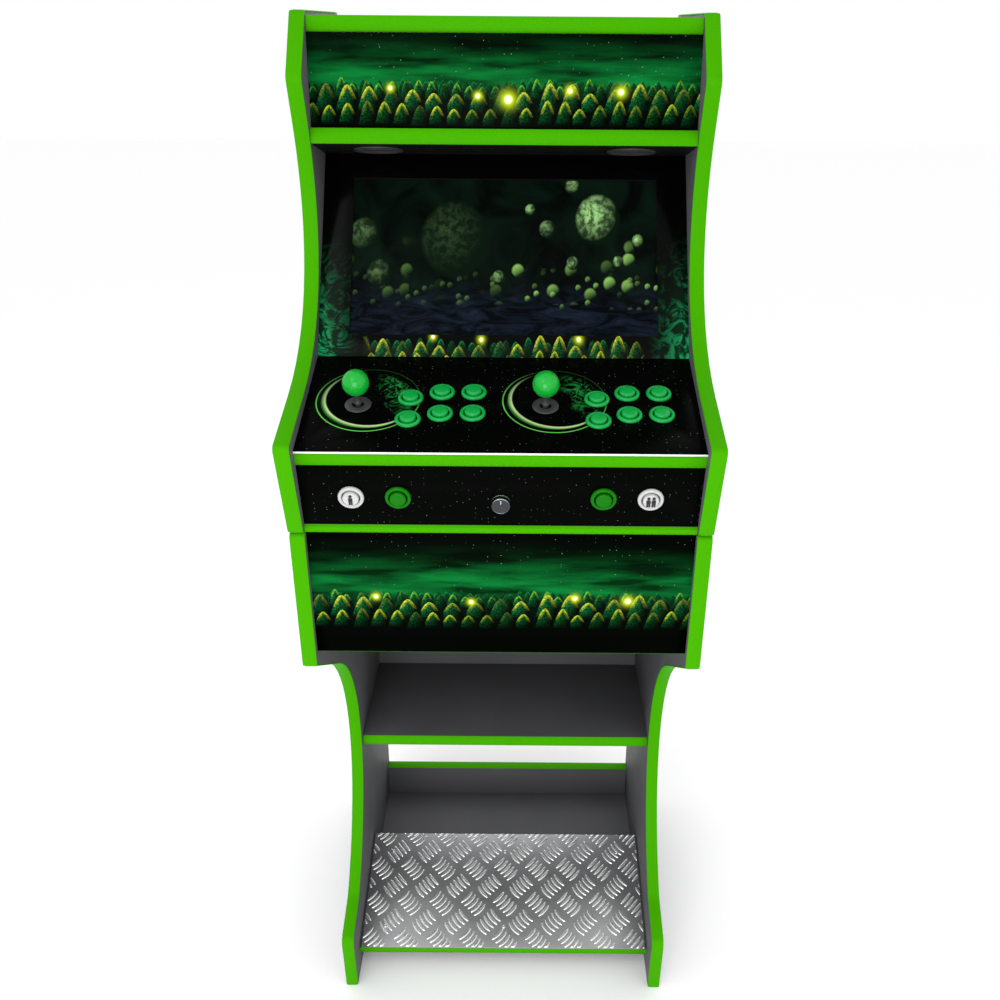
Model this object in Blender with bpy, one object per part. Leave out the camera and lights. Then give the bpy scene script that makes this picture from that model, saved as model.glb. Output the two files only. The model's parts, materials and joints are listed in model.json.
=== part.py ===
"""Upright two-player arcade cabinet: a desk-height game head standing on its own pedestal.

Metres, +Z up. The origin is on the floor, in the middle of the cabinet's width and depth, and the
player stands at -Y. Side-view places are written as (depth, height): depth is the distance behind
the foremost point of the control panel, and height is above the floor.
"""

import math

import bmesh
import bpy
from mathutils import Matrix, Vector

# ---------------------------------------------------------------- driving dimensions
WIDTH = 0.554
DEPTH = 0.677
HEIGHT = 1.572
BOARD = 0.020
THIN_BOARD = 0.012
CROWN = 0.0024
GAP = 0.0003

HALF_WIDTH = WIDTH / 2
INNER_HALF = HALF_WIDTH - BOARD
BOARD_HALF = INNER_HALF - GAP
HEAD_BOTTOM = 0.948

# Control panel: the top of its clear cover starts here and rises towards the screen.
PANEL_FRONT = (0.0210, 1.0730)
PANEL_SLOPE = math.radians(17.4)
PANEL_LENGTH = 0.207
COVER_THICK = 0.003

# Screen surround: its face starts at the back of the control panel and leans back.
SURROUND_FOOT = (0.2180, 1.1310)
SURROUND_SLOPE = math.radians(57.0)
SURROUND_START = 0.006
SURROUND_LENGTH = 0.298
SURROUND_THICK = 0.005
SCREEN_WIDTH = 0.4290
SCREEN_HEIGHT = 0.2306
SCREEN_CENTRE = 0.1530
MONITOR_SIZE = (0.456, 0.268, 0.022)
MONITOR_HUMP = (0.300, 0.160, 0.046)

# Front button panel, facing the player's waist. It is measured upward from the head's floor.
FRONT_PANEL_FOOT = (0.0510, 0.9603)
FRONT_PANEL_SLOPE = math.radians(103.05)
FRONT_PANEL_LENGTH = 0.0935
HEAD_FLOOR_BACK = 0.659

# The lit sign, and the speaker board whose front edge is the rail under it.
ROOF_FRONT = (0.2980, 1.5660)
ROOF_LENGTH = 0.2485
SIGN_FOOT = (0.2890, 1.4305)
SIGN_SLOPE = math.radians(86.0)
SIGN_LENGTH = 0.1153
SPEAKER_BOARD_FRONT = (0.2806, 1.4305)
SPEAKER_BOARD_SLOPE = math.radians(-12.7)
SPEAKER_BOARD_LENGTH = 0.126
SPEAKER_X = 0.1745
SPEAKER_ALONG = 0.0605
SPEAKER_RIM_R = 0.0345
SPEAKER_BODY_R = 0.0312
SIGN_LIGHT_SIZE = (0.460, 0.022, 0.018)

# The head's sloping back.
HEAD_BACK_FOOT = (0.6770, 0.9480)
HEAD_BACK_TOP = 0.5600
HEAD_BACK_SLOPE = math.radians(100.67)
HEAD_BACK_START = 0.006
HEAD_BACK_LENGTH = 0.616
HEAD_BACK_THICK = 0.009
HEAD_BACK_RECESS = 0.006
INLET_X = 0.170
INLET_ALONG = 0.070

# Controls, measured across the cabinet and up the control panel from its front edge.
STICK_X = {"p1": -0.1875, "p2": 0.0568}
STICK_ALONG = 0.098
BUTTON_SPOTS = [(0.0675, 0.1120), (0.1080, 0.1250), (0.1500, 0.1255),
                (0.1500, 0.0795), (0.1080, 0.0785), (0.0675, 0.0660)]
FRONT_BUTTONS = [("start_p1", -0.1915), ("coin_p1", -0.1313),
                 ("coin_p2", 0.1313), ("start_p2", 0.1915)]
FRONT_BUTTON_ALONG = 0.0448

ROUND_STEPS = 16
BUTTON_HOLE_R = 0.0142
BUTTON_BODY_R = 0.0138
BUTTON_RIM_R = 0.0168
BUTTON_BORE_R = 0.0123
BUTTON_DEPTH = 0.034
BUTTON_BORE_DEPTH = 0.018
PLUNGER_R = 0.0118
PLUNGER_FOOT = 0.0135
PLUNGER_TOP = 0.0074
WIRE_SIDE = 0.0024

KNOB_ALONG = 0.0372
KNOB_R = 0.0130
KNOB_HEIGHT = 0.0100
POT_R = 0.0085

# Joysticks, measured from the pivot, which lies inside the panel's hole.
PIVOT_DEPTH = 0.0140
STICK_HOLE_R = 0.0135
STICK_BASE_SIZE = (0.065, 0.095, 0.0364)
STICK_BASE_TOP = -0.0096
COLLAR_R = 0.0130
COLLAR_BORE_R = 0.0112
COLLAR_TOP = 0.0080
POCKET_R = 0.0150
RING_R = 0.0095
RING_BORE_R = 0.0066
RING_HALF = 0.0040
PIN_R = 0.0019
PIN_HOLE_R = 0.0023
SHAFT_R = 0.0035
SHAFT_FOOT = -0.036
BALL_R = 0.0175
BALL_CENTRE = 0.0490
WASHER_R = 0.0175
WASHER_HOLE_R = 0.0078
WASHER_THICK = 0.0015

# The stand.
STAND_PANEL_FOOT = (0.0680, 0.7530)
STAND_PANEL_SLOPE = math.radians(93.25)
STAND_PANEL_LENGTH = 0.1938
SHELF_FRONT = (0.3740, 0.3830)
SHELF_LENGTH = 0.241
STAND_BACK_FRONT = 0.6153
BEAM_TOP = (0.6750, 0.0950)
BEAM_HEIGHT = 0.0687
BEAM_THICK = 0.022
STAND_FLOOR_FRONT = (0.3000, 0.0260)
STAND_FLOOR_LENGTH = 0.375
FOOT_FRONT = (0.2030, 0.0500)
FOOT_SLOPE = math.radians(15.0)
FOOT_LENGTH = 0.237
FOOT_THICK = 0.015
TREAD_THICK = 0.003
TREAD_HALF = 0.2535


# ---------------------------------------------------------------- materials
def material(name, colour, roughness, metallic=0.0):
    made = bpy.data.materials.new(name)
    made.use_nodes = True
    shader = made.node_tree.nodes["Principled BSDF"]
    shader.inputs["Base Color"].default_value = (*colour, 1.0)
    shader.inputs["Roughness"].default_value = roughness
    shader.inputs["Metallic"].default_value = metallic
    return made


def make_materials():
    return {
        "laminate": material("black_laminate", (0.030, 0.030, 0.032), 0.55),
        "trim": material("green_edge_trim", (0.073, 0.434, 0.0), 0.35),
        "artwork": material("printed_artwork", (0.010, 0.030, 0.015), 0.30),
        "clear": material("clear_acrylic", (0.70, 0.72, 0.72), 0.05),
        "screen": material("monitor_black", (0.012, 0.014, 0.014), 0.15),
        "green_plastic": material("green_plastic", (0.020, 0.420, 0.090), 0.25),
        "white_plastic": material("white_plastic", (0.80, 0.80, 0.80), 0.30),
        "dark_plastic": material("dark_plastic", (0.040, 0.040, 0.042), 0.45),
        "steel": material("plated_steel", (0.55, 0.55, 0.56), 0.30, 1.0),
        "aluminium": material("tread_aluminium", (0.70, 0.71, 0.72), 0.30, 1.0),
    }


# ---------------------------------------------------------------- side-view geometry
def world_y(depth):
    """Depth behind the control panel's foremost point, as the row's Y."""
    return depth - DEPTH / 2


def along(start, slope, distance, off=0.0):
    """The side-view point this far up a slope from its start, and this far off its face."""
    depth = start[0] + distance * math.cos(slope) - off * math.sin(slope)
    height = start[1] + distance * math.sin(slope) + off * math.cos(slope)
    return (depth, height)


def fillet(before, corner, after, radius, steps):
    """Points of the arc that rounds one corner of an outline."""
    corner = Vector(corner)
    back = (Vector(before) - corner).normalized()
    ahead = (Vector(after) - corner).normalized()
    half = back.angle(ahead) / 2
    reach = radius / math.tan(half)
    centre = corner + (back + ahead).normalized() * radius / math.sin(half)
    first = corner + back * reach - centre
    last = corner + ahead * reach - centre
    turn = first.angle_signed(last)
    points = []
    for step in range(steps + 1):
        angle = -turn * step / steps
        cosine = math.cos(angle)
        sine = math.sin(angle)
        points.append((centre.x + first.x * cosine - first.y * sine,
                       centre.y + first.x * sine + first.y * cosine))
    return points


def rounded(corners):
    """An open outline through corners of (depth, height, radius, steps)."""
    points = [corners[0][:2]]
    for before, corner, after in zip(corners, corners[1:], corners[2:]):
        if corner[2] == 0:
            points.append(corner[:2])
        else:
            points += fillet(before[:2], corner[:2], after[:2], corner[2], corner[3])
    points.append(corners[-1][:2])
    return points


def bezier(start, start_handle, end_handle, end, steps):
    points = []
    for step in range(steps + 1):
        t = step / steps
        weights = ((1 - t) ** 3, 3 * t * (1 - t) ** 2, 3 * t ** 2 * (1 - t), t ** 3)
        corners = (start, start_handle, end_handle, end)
        points.append(tuple(sum(w * c[i] for w, c in zip(weights, corners)) for i in (0, 1)))
    return points


def inset(path, distance):
    """An open outline moved sideways, to its left as it is walked, with mitred corners."""
    moved = []
    for index, point in enumerate(path):
        here = Vector(point)
        before = here - Vector(path[index - 1]) if index else None
        after = Vector(path[index + 1]) - here if index + 1 < len(path) else None
        before = (before or after).normalized()
        after = (after or before).normalized()
        left_before = Vector((-before.y, before.x))
        left_after = Vector((-after.y, after.x))
        mitre = (left_before + left_after).normalized()
        moved.append(tuple(here + mitre * distance / mitre.dot(left_before)))
    return moved


# The game head's front, walked from the roof's rear corner forward and down to its base.
SIGN_NOSE = (0.2440, 1.4930)
NOSE_FALL = Vector((0.371, -0.928)).normalized()
PANEL_RISE = Vector((math.cos(math.radians(15.5)), math.sin(math.radians(15.5))))
PANEL_NOSE = (-0.0013, 1.0862)
TRIM_RETURN = 0.0600


def head_outline():
    curve_top = Vector(SIGN_NOSE) + NOSE_FALL * 0.063
    curve_foot = Vector(PANEL_NOSE) + PANEL_RISE * 0.115
    brow = rounded([(HEAD_BACK_TOP, HEIGHT, 0, 0), (0.3000, HEIGHT, 0.010, 4),
                    (*SIGN_NOSE, 0.012, 3),
                    (*curve_top, 0, 0)])
    sweep = bezier(curve_top, curve_top + NOSE_FALL * 0.142, curve_foot + PANEL_RISE * 0.175,
                   curve_foot, 14)
    chin = rounded([(*curve_foot, 0, 0), (*PANEL_NOSE, 0.008, 4), (0.0425, HEAD_BOTTOM, 0.012, 4),
                    (TRIM_RETURN, HEAD_BOTTOM, 0, 0)])
    return brow[:-1] + sweep + chin[1:]


def stand_outline():
    """The pedestal's front, from under the head down round the leg space to the floor."""
    return rounded([(TRIM_RETURN, HEAD_BOTTOM - GAP, 0, 0), (0.0455, HEAD_BOTTOM - GAP, 0.008, 4),
                    (0.0570, 0.7370, 0.006, 3), (0.5915, 0.4056, 0.296, 18),
                    (0.2336, 0.1408, 0.040, 4), (0.1535, 0.1182, 0.014, 4), (0.1670, 0.0, 0, 0)])


# ---------------------------------------------------------------- solids
def finish(name, shape, look, smooth=False):
    """A named object from a bmesh, with its faces turned outward."""
    bmesh.ops.recalc_face_normals(shape, faces=shape.faces)
    mesh = bpy.data.meshes.new(name)
    shape.to_mesh(mesh)
    shape.free()
    mesh.materials.append(look)
    if smooth:
        mesh.shade_smooth()
        mesh.set_sharp_from_angle(angle=math.radians(35))
    made = bpy.data.objects.new(name, mesh)
    bpy.context.collection.objects.link(made)
    return made


def prism(name, outline, low_x, high_x, look):
    """A side-view outline given a thickness across the cabinet."""
    shape = bmesh.new()
    near = [shape.verts.new((low_x, world_y(depth), height)) for depth, height in outline]
    face = shape.faces.new(near)
    grown = bmesh.ops.extrude_face_region(shape, geom=[face])["geom"]
    moved = [item for item in grown if isinstance(item, bmesh.types.BMVert)]
    bmesh.ops.translate(shape, verts=moved, vec=(high_x - low_x, 0, 0))
    return finish(name, shape, look)


def slab(name, start, slope, length, thick, look, half=BOARD_HALF, crowns=0, off=0.0):
    """A board seen edge-on: its face climbs a slope from a start point, and it is thick below that.

    Crowns is how many of its two ends, counted from the start, carry rounded edge moulding.
    """
    first = CROWN if crowns > 0 else 0
    last = length - CROWN if crowns > 1 else length
    outline = [along(start, slope, first, off), along(start, slope, last, off)]
    if crowns > 1:
        outline += [along(start, slope, length, off - thick * side) for side in (0.3, 0.7)]
    outline += [along(start, slope, last, off - thick), along(start, slope, first, off - thick)]
    if crowns > 0:
        outline += [along(start, slope, 0, off - thick * side) for side in (0.7, 0.3)]
    return prism(name, outline, -half, half, look)


def turned(name, profile, look, place=Matrix.Identity(4), steps=ROUND_STEPS):
    """A round solid from its half profile of (radius, height), standing on its local Z axis."""
    shape = bmesh.new()
    points = [shape.verts.new((radius, 0, height)) for radius, height in profile]
    edges = [shape.edges.new(pair) for pair in zip(points, points[1:])]
    if profile[0][0] > 0:
        edges.append(shape.edges.new((points[-1], points[0])))
    bmesh.ops.spin(shape, geom=points + edges, cent=(0, 0, 0), axis=(0, 0, 1),
                   angle=math.tau, steps=steps, use_duplicate=False)
    bmesh.ops.remove_doubles(shape, verts=shape.verts, dist=1e-6)
    made = finish(name, shape, look, smooth=True)
    made.matrix_world = place
    return made


def block(name, size, look, place=Matrix.Identity(4), bevel=0.0):
    """A box centred on its local origin, with its upright edges rounded when a bevel is given."""
    shape = bmesh.new()
    bmesh.ops.create_cube(shape, size=1.0, matrix=Matrix.Diagonal((*size, 1)))
    if bevel:
        upright = [edge for edge in shape.edges
                   if abs(edge.verts[0].co.z - edge.verts[1].co.z) > size[2] / 2]
        bmesh.ops.bevel(shape, geom=upright, offset=bevel, segments=2, affect="EDGES", profile=0.5)
    made = finish(name, shape, look)
    made.matrix_world = place
    return made


def boolean(target, tool, operation="DIFFERENCE"):
    change = target.modifiers.new(tool.name, "BOOLEAN")
    change.operation = operation
    change.solver = "EXACT"
    change.object = tool
    tool.hide_render = True
    tool.display_type = "WIRE"


def rod(name, radius, length, look, place=Matrix.Identity(4)):
    """A plain round bar centred on its local origin."""
    ends = [(0, -length / 2), (radius, -length / 2), (radius, length / 2), (0, length / 2)]
    return turned(name, ends, look, place)


def drill(targets, name, place, radius):
    """One round hole through every board that its axis crosses."""
    tool = rod(name, radius, 0.1, targets[0].data.materials[0], place)
    for target in targets:
        boolean(target, tool)


def place_on(start, slope, x, distance, off=0.0):
    """A frame on a sloping face: local Y runs up the slope and local Z stands off the face."""
    depth, height = along(start, slope, distance, off)
    spot = Matrix.Translation((x, world_y(depth), height))
    return spot @ Matrix.Rotation(slope, 4, "X")


# ---------------------------------------------------------------- cabinet sides and edge trim
def trim_strip(name, outline, low_x, look):
    """Edge moulding with a low crown, swept along the front outline of one side."""
    shape = bmesh.new()
    section = [(0.0, 0.0), (0.0, 0.6), (0.22, 1.0), (0.78, 1.0), (1.0, 0.6), (1.0, 0.0)]
    rings = []
    layers = {rise: inset(outline, CROWN * (1 - rise)) for rise in (0.0, 0.6, 1.0)}
    for index in range(len(outline)):
        ring = []
        for across, rise in section:
            depth, height = layers[rise][index]
            ring.append(shape.verts.new((low_x + across * BOARD, world_y(depth), height)))
        rings.append(ring)
    for ring, following in zip(rings, rings[1:]):
        for index in range(len(section)):
            beside = (index + 1) % len(section)
            shape.faces.new((ring[index], ring[beside], following[beside], following[index]))
    shape.faces.new(rings[0])
    shape.faces.new(rings[-1])
    return finish(name, shape, look)


def make_sides(looks):
    head_path = head_outline()
    stand_path = stand_outline()
    head_edge = inset(head_path, CROWN + GAP)
    stand_edge = inset(stand_path, CROWN + GAP)
    head_board = head_edge + [(TRIM_RETURN + GAP, HEAD_BOTTOM), HEAD_BACK_FOOT]
    stand_board = [(DEPTH, 0.0), (DEPTH, HEAD_BOTTOM - GAP),
                   (TRIM_RETURN + GAP, HEAD_BOTTOM - GAP)]
    stand_board += stand_edge[:-1] + [(stand_edge[-1][0], 0.0)]
    for side, low_x in (("left", -HALF_WIDTH), ("right", INNER_HALF)):
        prism(f"head_side_{side}", head_board, low_x, low_x + BOARD, looks["laminate"])
        trim_strip(f"head_edge_trim_{side}", head_path, low_x, looks["trim"])
        prism(f"stand_side_{side}", stand_board, low_x, low_x + BOARD, looks["laminate"])
        trim_strip(f"stand_edge_trim_{side}", stand_path, low_x, looks["trim"])


# ---------------------------------------------------------------- boards of the head
def make_head_boards(looks):
    laminate = looks["laminate"]
    slab("roof_board", ROOF_FRONT, 0, ROOF_LENGTH, BOARD, laminate, crowns=1)
    slab("sign_panel", SIGN_FOOT, SIGN_SLOPE, SIGN_LENGTH, SURROUND_THICK, looks["artwork"])
    floor_front = (FRONT_PANEL_FOOT[0] - CROWN, FRONT_PANEL_FOOT[1] - GAP)
    slab("head_floor", floor_front, 0, HEAD_FLOOR_BACK - floor_front[0], 0.0117, laminate,
         crowns=1)

    surround = slab("screen_surround", along(SURROUND_FOOT, SURROUND_SLOPE, SURROUND_START),
                    SURROUND_SLOPE, SURROUND_LENGTH, SURROUND_THICK, looks["artwork"])
    window = place_on(SURROUND_FOOT, SURROUND_SLOPE, 0, SCREEN_CENTRE)
    boolean(surround, block("screen_window", (SCREEN_WIDTH, SCREEN_HEIGHT, 0.03), laminate, window))

    front = along(HEAD_BACK_FOOT, HEAD_BACK_SLOPE, HEAD_BACK_START)
    back = slab("head_back_panel", front, HEAD_BACK_SLOPE, HEAD_BACK_LENGTH, HEAD_BACK_THICK,
                laminate, off=HEAD_BACK_RECESS + HEAD_BACK_THICK)
    inlet = place_on(HEAD_BACK_FOOT, HEAD_BACK_SLOPE, INLET_X, INLET_ALONG)
    boolean(back, block("inlet_window", (0.0286, 0.0486, 0.06), laminate, inlet))


def make_control_panel(looks):
    cover = slab("control_panel_cover", PANEL_FRONT, PANEL_SLOPE, PANEL_LENGTH, COVER_THICK,
                 looks["clear"])
    board = slab("control_panel", PANEL_FRONT, PANEL_SLOPE, PANEL_LENGTH, BOARD,
                 looks["laminate"], crowns=1, off=-COVER_THICK - GAP)
    for player, stick_x in STICK_X.items():
        spot = place_on(PANEL_FRONT, PANEL_SLOPE, stick_x, STICK_ALONG)
        drill([cover, board], f"stick_hole_{player}", spot, STICK_HOLE_R)
        for number, (across, distance) in enumerate(BUTTON_SPOTS, 1):
            spot = place_on(PANEL_FRONT, PANEL_SLOPE, stick_x + across, distance)
            drill([cover, board], f"button_hole_{player}_{number}", spot, BUTTON_HOLE_R)

    panel = slab("front_button_panel", FRONT_PANEL_FOOT, FRONT_PANEL_SLOPE, FRONT_PANEL_LENGTH,
                 THIN_BOARD, looks["artwork"])
    for label, x in FRONT_BUTTONS:
        spot = place_on(FRONT_PANEL_FOOT, FRONT_PANEL_SLOPE, x, FRONT_BUTTON_ALONG)
        drill([panel], f"button_hole_{label}", spot, BUTTON_HOLE_R)
    spot = place_on(FRONT_PANEL_FOOT, FRONT_PANEL_SLOPE, 0, KNOB_ALONG)
    drill([panel], "knob_hole", spot, POT_R / 2)


def make_speakers(looks):
    board = slab("speaker_board", SPEAKER_BOARD_FRONT, SPEAKER_BOARD_SLOPE,
                 SPEAKER_BOARD_LENGTH, BOARD, looks["laminate"], crowns=1)
    profile = [(0, 0.0022), (SPEAKER_BODY_R, 0.0022), (SPEAKER_RIM_R, 0.0012),
               (SPEAKER_RIM_R, GAP), (SPEAKER_BODY_R, GAP), (SPEAKER_BODY_R, -0.024),
               (0.0220, -0.034), (0.0220, -0.046), (0, -0.046)]
    for side, x in (("left", -SPEAKER_X), ("right", SPEAKER_X)):
        spot = place_on(SPEAKER_BOARD_FRONT, SPEAKER_BOARD_SLOPE, x, SPEAKER_ALONG, -BOARD)
        facing_down = spot @ Matrix.Rotation(math.pi, 4, "X")
        drill([board], f"speaker_hole_{side}", spot, SPEAKER_BODY_R + 2 * GAP)
        turned(f"speaker_{side}", profile, looks["steel"], facing_down, steps=24)


# ---------------------------------------------------------------- boards of the stand
def make_stand_boards(looks):
    laminate = looks["laminate"]
    slab("stand_front_panel", STAND_PANEL_FOOT, STAND_PANEL_SLOPE, STAND_PANEL_LENGTH, BOARD,
         laminate, crowns=1)
    slab("shelf", SHELF_FRONT, 0, SHELF_LENGTH, BOARD, laminate, crowns=1)
    low = SHELF_FRONT[1] - BOARD
    high = HEAD_BOTTOM - 0.002
    far = STAND_BACK_FRONT + THIN_BOARD
    back = [(STAND_BACK_FRONT, low), (STAND_BACK_FRONT, high), (far, high), (far, low)]
    prism("stand_back_panel", back, -BOARD_HALF, BOARD_HALF, laminate)
    slab("rear_beam", BEAM_TOP, -math.pi / 2, BEAM_HEIGHT, BEAM_THICK, laminate, crowns=1)
    slab("stand_floor", STAND_FLOOR_FRONT, 0, STAND_FLOOR_LENGTH, BOARD, laminate)
    slab("foot_board", FOOT_FRONT, FOOT_SLOPE, FOOT_LENGTH, FOOT_THICK, laminate, crowns=2,
         off=-TREAD_THICK - GAP)
    slab("tread_plate", along(FOOT_FRONT, FOOT_SLOPE, CROWN), FOOT_SLOPE,
         FOOT_LENGTH - 2 * CROWN, TREAD_THICK, looks["aluminium"], half=TREAD_HALF)


# ---------------------------------------------------------------- controls
def make_buttons(name, buttons, rim_look):
    """A row of push buttons: their bodies, linked by one ground wire, and a plunger in each.

    Buttons is a list of (plunger name, place, plunger look).
    """
    body = [(0, -BUTTON_DEPTH), (BUTTON_BODY_R, -BUTTON_DEPTH), (BUTTON_BODY_R, GAP),
            (BUTTON_RIM_R, GAP), (BUTTON_RIM_R, 0.0024), (0.0150, 0.0042),
            (BUTTON_BORE_R, 0.0036), (BUTTON_BORE_R, -BUTTON_BORE_DEPTH),
            (0, -BUTTON_BORE_DEPTH)]
    plunger = [(0, -PLUNGER_FOOT), (PLUNGER_R, -PLUNGER_FOOT), (PLUNGER_R, 0.0046),
               (0.0098, 0.0063), (0.0050, 0.0072), (0, PLUNGER_TOP)]
    rims = None
    last_spot = None
    for number, (label, spot, look) in enumerate(buttons, 1):
        turned(label, plunger, look, spot)
        if rims is None:
            rims = turned(name, body, rim_look, spot)
        else:
            boolean(rims, turned(f"{name}_{number}", body, rim_look, spot), "UNION")
            step = last_spot.inverted() @ spot
            reach = step.translation
            turn = Matrix.Rotation(math.atan2(reach.y, reach.x), 4, "Z")
            middle = Matrix.Translation((reach.x / 2, reach.y / 2, 0.004 - BUTTON_DEPTH))
            size = (reach.length, WIRE_SIDE, WIRE_SIDE)
            wire = block(f"{name}_wire_{number}", size, rim_look, last_spot @ middle @ turn)
            boolean(rims, wire, "UNION")
        last_spot = spot


def make_all_buttons(looks):
    for player, stick_x in STICK_X.items():
        row = []
        for number, (across, distance) in enumerate(BUTTON_SPOTS, 1):
            spot = place_on(PANEL_FRONT, PANEL_SLOPE, stick_x + across, distance)
            row.append((f"button_{player}_{number}", spot, looks["green_plastic"]))
        make_buttons(f"button_bodies_{player}", row, looks["green_plastic"])
    row = []
    for label, x in FRONT_BUTTONS:
        spot = place_on(FRONT_PANEL_FOOT, FRONT_PANEL_SLOPE, x, FRONT_BUTTON_ALONG)
        look = looks["white_plastic" if label.startswith("start") else "green_plastic"]
        row.append((f"button_{label}", spot, look))
    make_buttons("button_bodies_front", row, looks["dark_plastic"])


def make_volume_knob(looks):
    spot = place_on(FRONT_PANEL_FOOT, FRONT_PANEL_SLOPE, 0, KNOB_ALONG)
    knob = [(0, -0.0170), (0.0026, -0.0170), (0.0026, 0.0010), (KNOB_R, 0.0010),
            (KNOB_R, KNOB_HEIGHT - 0.0008), (KNOB_R - 0.0008, KNOB_HEIGHT), (0, KNOB_HEIGHT)]
    turned("volume_knob", knob, looks["steel"], spot, steps=24)
    pot = [(0, -0.0230), (POT_R, -0.0230), (POT_R, -THIN_BOARD - GAP),
           (0.0039, -THIN_BOARD - GAP), (0.0039, -0.0010), (0.0030, -0.0010),
           (0.0030, -0.0190), (0, -0.0190)]
    turned("volume_pot", pot, looks["steel"], spot)


def make_joystick(player, x, looks):
    dark = looks["dark_plastic"]
    hub = place_on(PANEL_FRONT, PANEL_SLOPE, x, STICK_ALONG, -PIVOT_DEPTH)
    along_x = hub @ Matrix.Rotation(math.pi / 2, 4, "Y")
    along_y = hub @ Matrix.Rotation(math.pi / 2, 4, "X")
    name = f"joystick_{player}"

    middle = Matrix.Translation((0, 0, STICK_BASE_TOP - STICK_BASE_SIZE[2] / 2))
    base = block(f"{name}_base", STICK_BASE_SIZE, dark, hub @ middle)
    collar = [(0, STICK_BASE_TOP - 0.005), (COLLAR_R, STICK_BASE_TOP - 0.005),
              (COLLAR_R, COLLAR_TOP), (0, COLLAR_TOP)]
    boolean(base, turned(f"{name}_collar", collar, dark, hub), "UNION")
    pocket = [(0, STICK_BASE_TOP - 0.033), (POCKET_R, STICK_BASE_TOP - 0.033),
              (POCKET_R, STICK_BASE_TOP - 0.006), (COLLAR_BORE_R, STICK_BASE_TOP - 0.004),
              (COLLAR_BORE_R, 0.02), (0, 0.02)]
    boolean(base, turned(f"{name}_pocket", pocket, dark, hub))
    boolean(base, rod(f"{name}_bearing", PIN_HOLE_R, 0.04, dark, along_x))

    ring = rod(f"{name}_gimbal", RING_R, 2 * RING_HALF, dark, hub)
    boolean(ring, rod(f"{name}_gimbal_pins", PIN_R, 2 * COLLAR_R - 0.001, dark, along_x), "UNION")
    boolean(ring, rod(f"{name}_gimbal_bore", RING_BORE_R, 0.03, dark, hub))
    boolean(ring, rod(f"{name}_gimbal_bearing", PIN_HOLE_R, 0.03, dark, along_y))

    shaft = [(0, SHAFT_FOOT), (SHAFT_R, SHAFT_FOOT)]
    rise = math.acos(SHAFT_R / BALL_R)
    for step in range(9):
        angle = -rise + (rise + math.pi / 2) * step / 8
        radius = BALL_R * math.cos(angle) if step < 8 else 0
        shaft.append((radius, BALL_CENTRE + BALL_R * math.sin(angle)))
    stick = turned(f"{name}_stick", shaft, looks["green_plastic"], hub)
    boolean(stick, rod(f"{name}_stick_pins", PIN_R, 2 * RING_R - 0.0015, dark, along_y), "UNION")

    top = place_on(PANEL_FRONT, PANEL_SLOPE, x, STICK_ALONG)
    washer = [(WASHER_HOLE_R, GAP), (WASHER_R, GAP), (WASHER_R, WASHER_THICK * 0.6),
              (WASHER_R - 0.001, WASHER_THICK), (WASHER_HOLE_R, WASHER_THICK)]
    turned(f"{name}_dust_washer", washer, dark, top, steps=24)


# ---------------------------------------------------------------- electrics inside the head
def make_electrics(looks):
    dark = looks["dark_plastic"]
    behind = -SURROUND_THICK - GAP - MONITOR_SIZE[2] / 2
    spot = place_on(SURROUND_FOOT, SURROUND_SLOPE, 0, SCREEN_CENTRE, behind)
    monitor = block("monitor", MONITOR_SIZE, looks["screen"], spot)
    deeper = Matrix.Translation((0, 0, (MONITOR_SIZE[2] - MONITOR_HUMP[2]) / 2 - 0.002))
    boolean(monitor, block("monitor_hump", MONITOR_HUMP, dark, spot @ deeper), "UNION")

    under_roof = ROOF_FRONT[1] - BOARD - GAP - SIGN_LIGHT_SIZE[2] / 2
    spot = Matrix.Translation((0, world_y(0.345), under_roof))
    block("sign_light", SIGN_LIGHT_SIZE, looks["white_plastic"], spot)

    floor = FRONT_PANEL_FOOT[1]
    size = (0.200, 0.140, 0.045)
    spot = Matrix.Translation((-0.080, world_y(0.450), floor + size[2] / 2))
    block("game_computer", size, dark, spot, bevel=0.006)
    size = (0.150, 0.065, 0.040)
    spot = Matrix.Translation((0.150, world_y(0.480), floor + size[2] / 2))
    block("power_supply", size, dark, spot, bevel=0.006)

    spot = place_on(HEAD_BACK_FOOT, HEAD_BACK_SLOPE, INLET_X, INLET_ALONG)
    flange = spot @ Matrix.Translation((0, 0, HEAD_BACK_RECESS - 0.0015))
    inlet = block("power_inlet", (0.036, 0.060, 0.0024), dark, flange)
    body = spot @ Matrix.Translation((0, 0, 0.0190))
    boolean(inlet, block("power_inlet_body", (0.028, 0.048, 0.028), dark, body), "UNION")
    socket = spot @ Matrix.Translation((0, -0.008, 0.0))
    boolean(inlet, block("power_inlet_socket", (0.022, 0.016, 0.036), dark, socket))


def main():
    for thing in list(bpy.data.objects):
        bpy.data.objects.remove(thing, do_unlink=True)
    looks = make_materials()
    make_sides(looks)
    make_head_boards(looks)
    make_control_panel(looks)
    make_speakers(looks)
    make_stand_boards(looks)
    make_all_buttons(looks)
    make_volume_knob(looks)
    for player, x in STICK_X.items():
        make_joystick(player, x, looks)
    make_electrics(looks)


main()
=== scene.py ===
# %% [markdown]
# # A two-player arcade cabinet
#
# The real cabinet is flat-pack furniture: black melamine-faced boards, a bright green plastic
# moulding hammered into every visible edge, printed sheets under clear acrylic, and arcade
# controls. The solid model is loaded first. It fixes every size and every moving body, and the
# cells below give each board and control its real surface and its finer shape.

# %% Load the solid model
import json
import math

import bpy
from mathutils import Matrix, Vector

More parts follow.
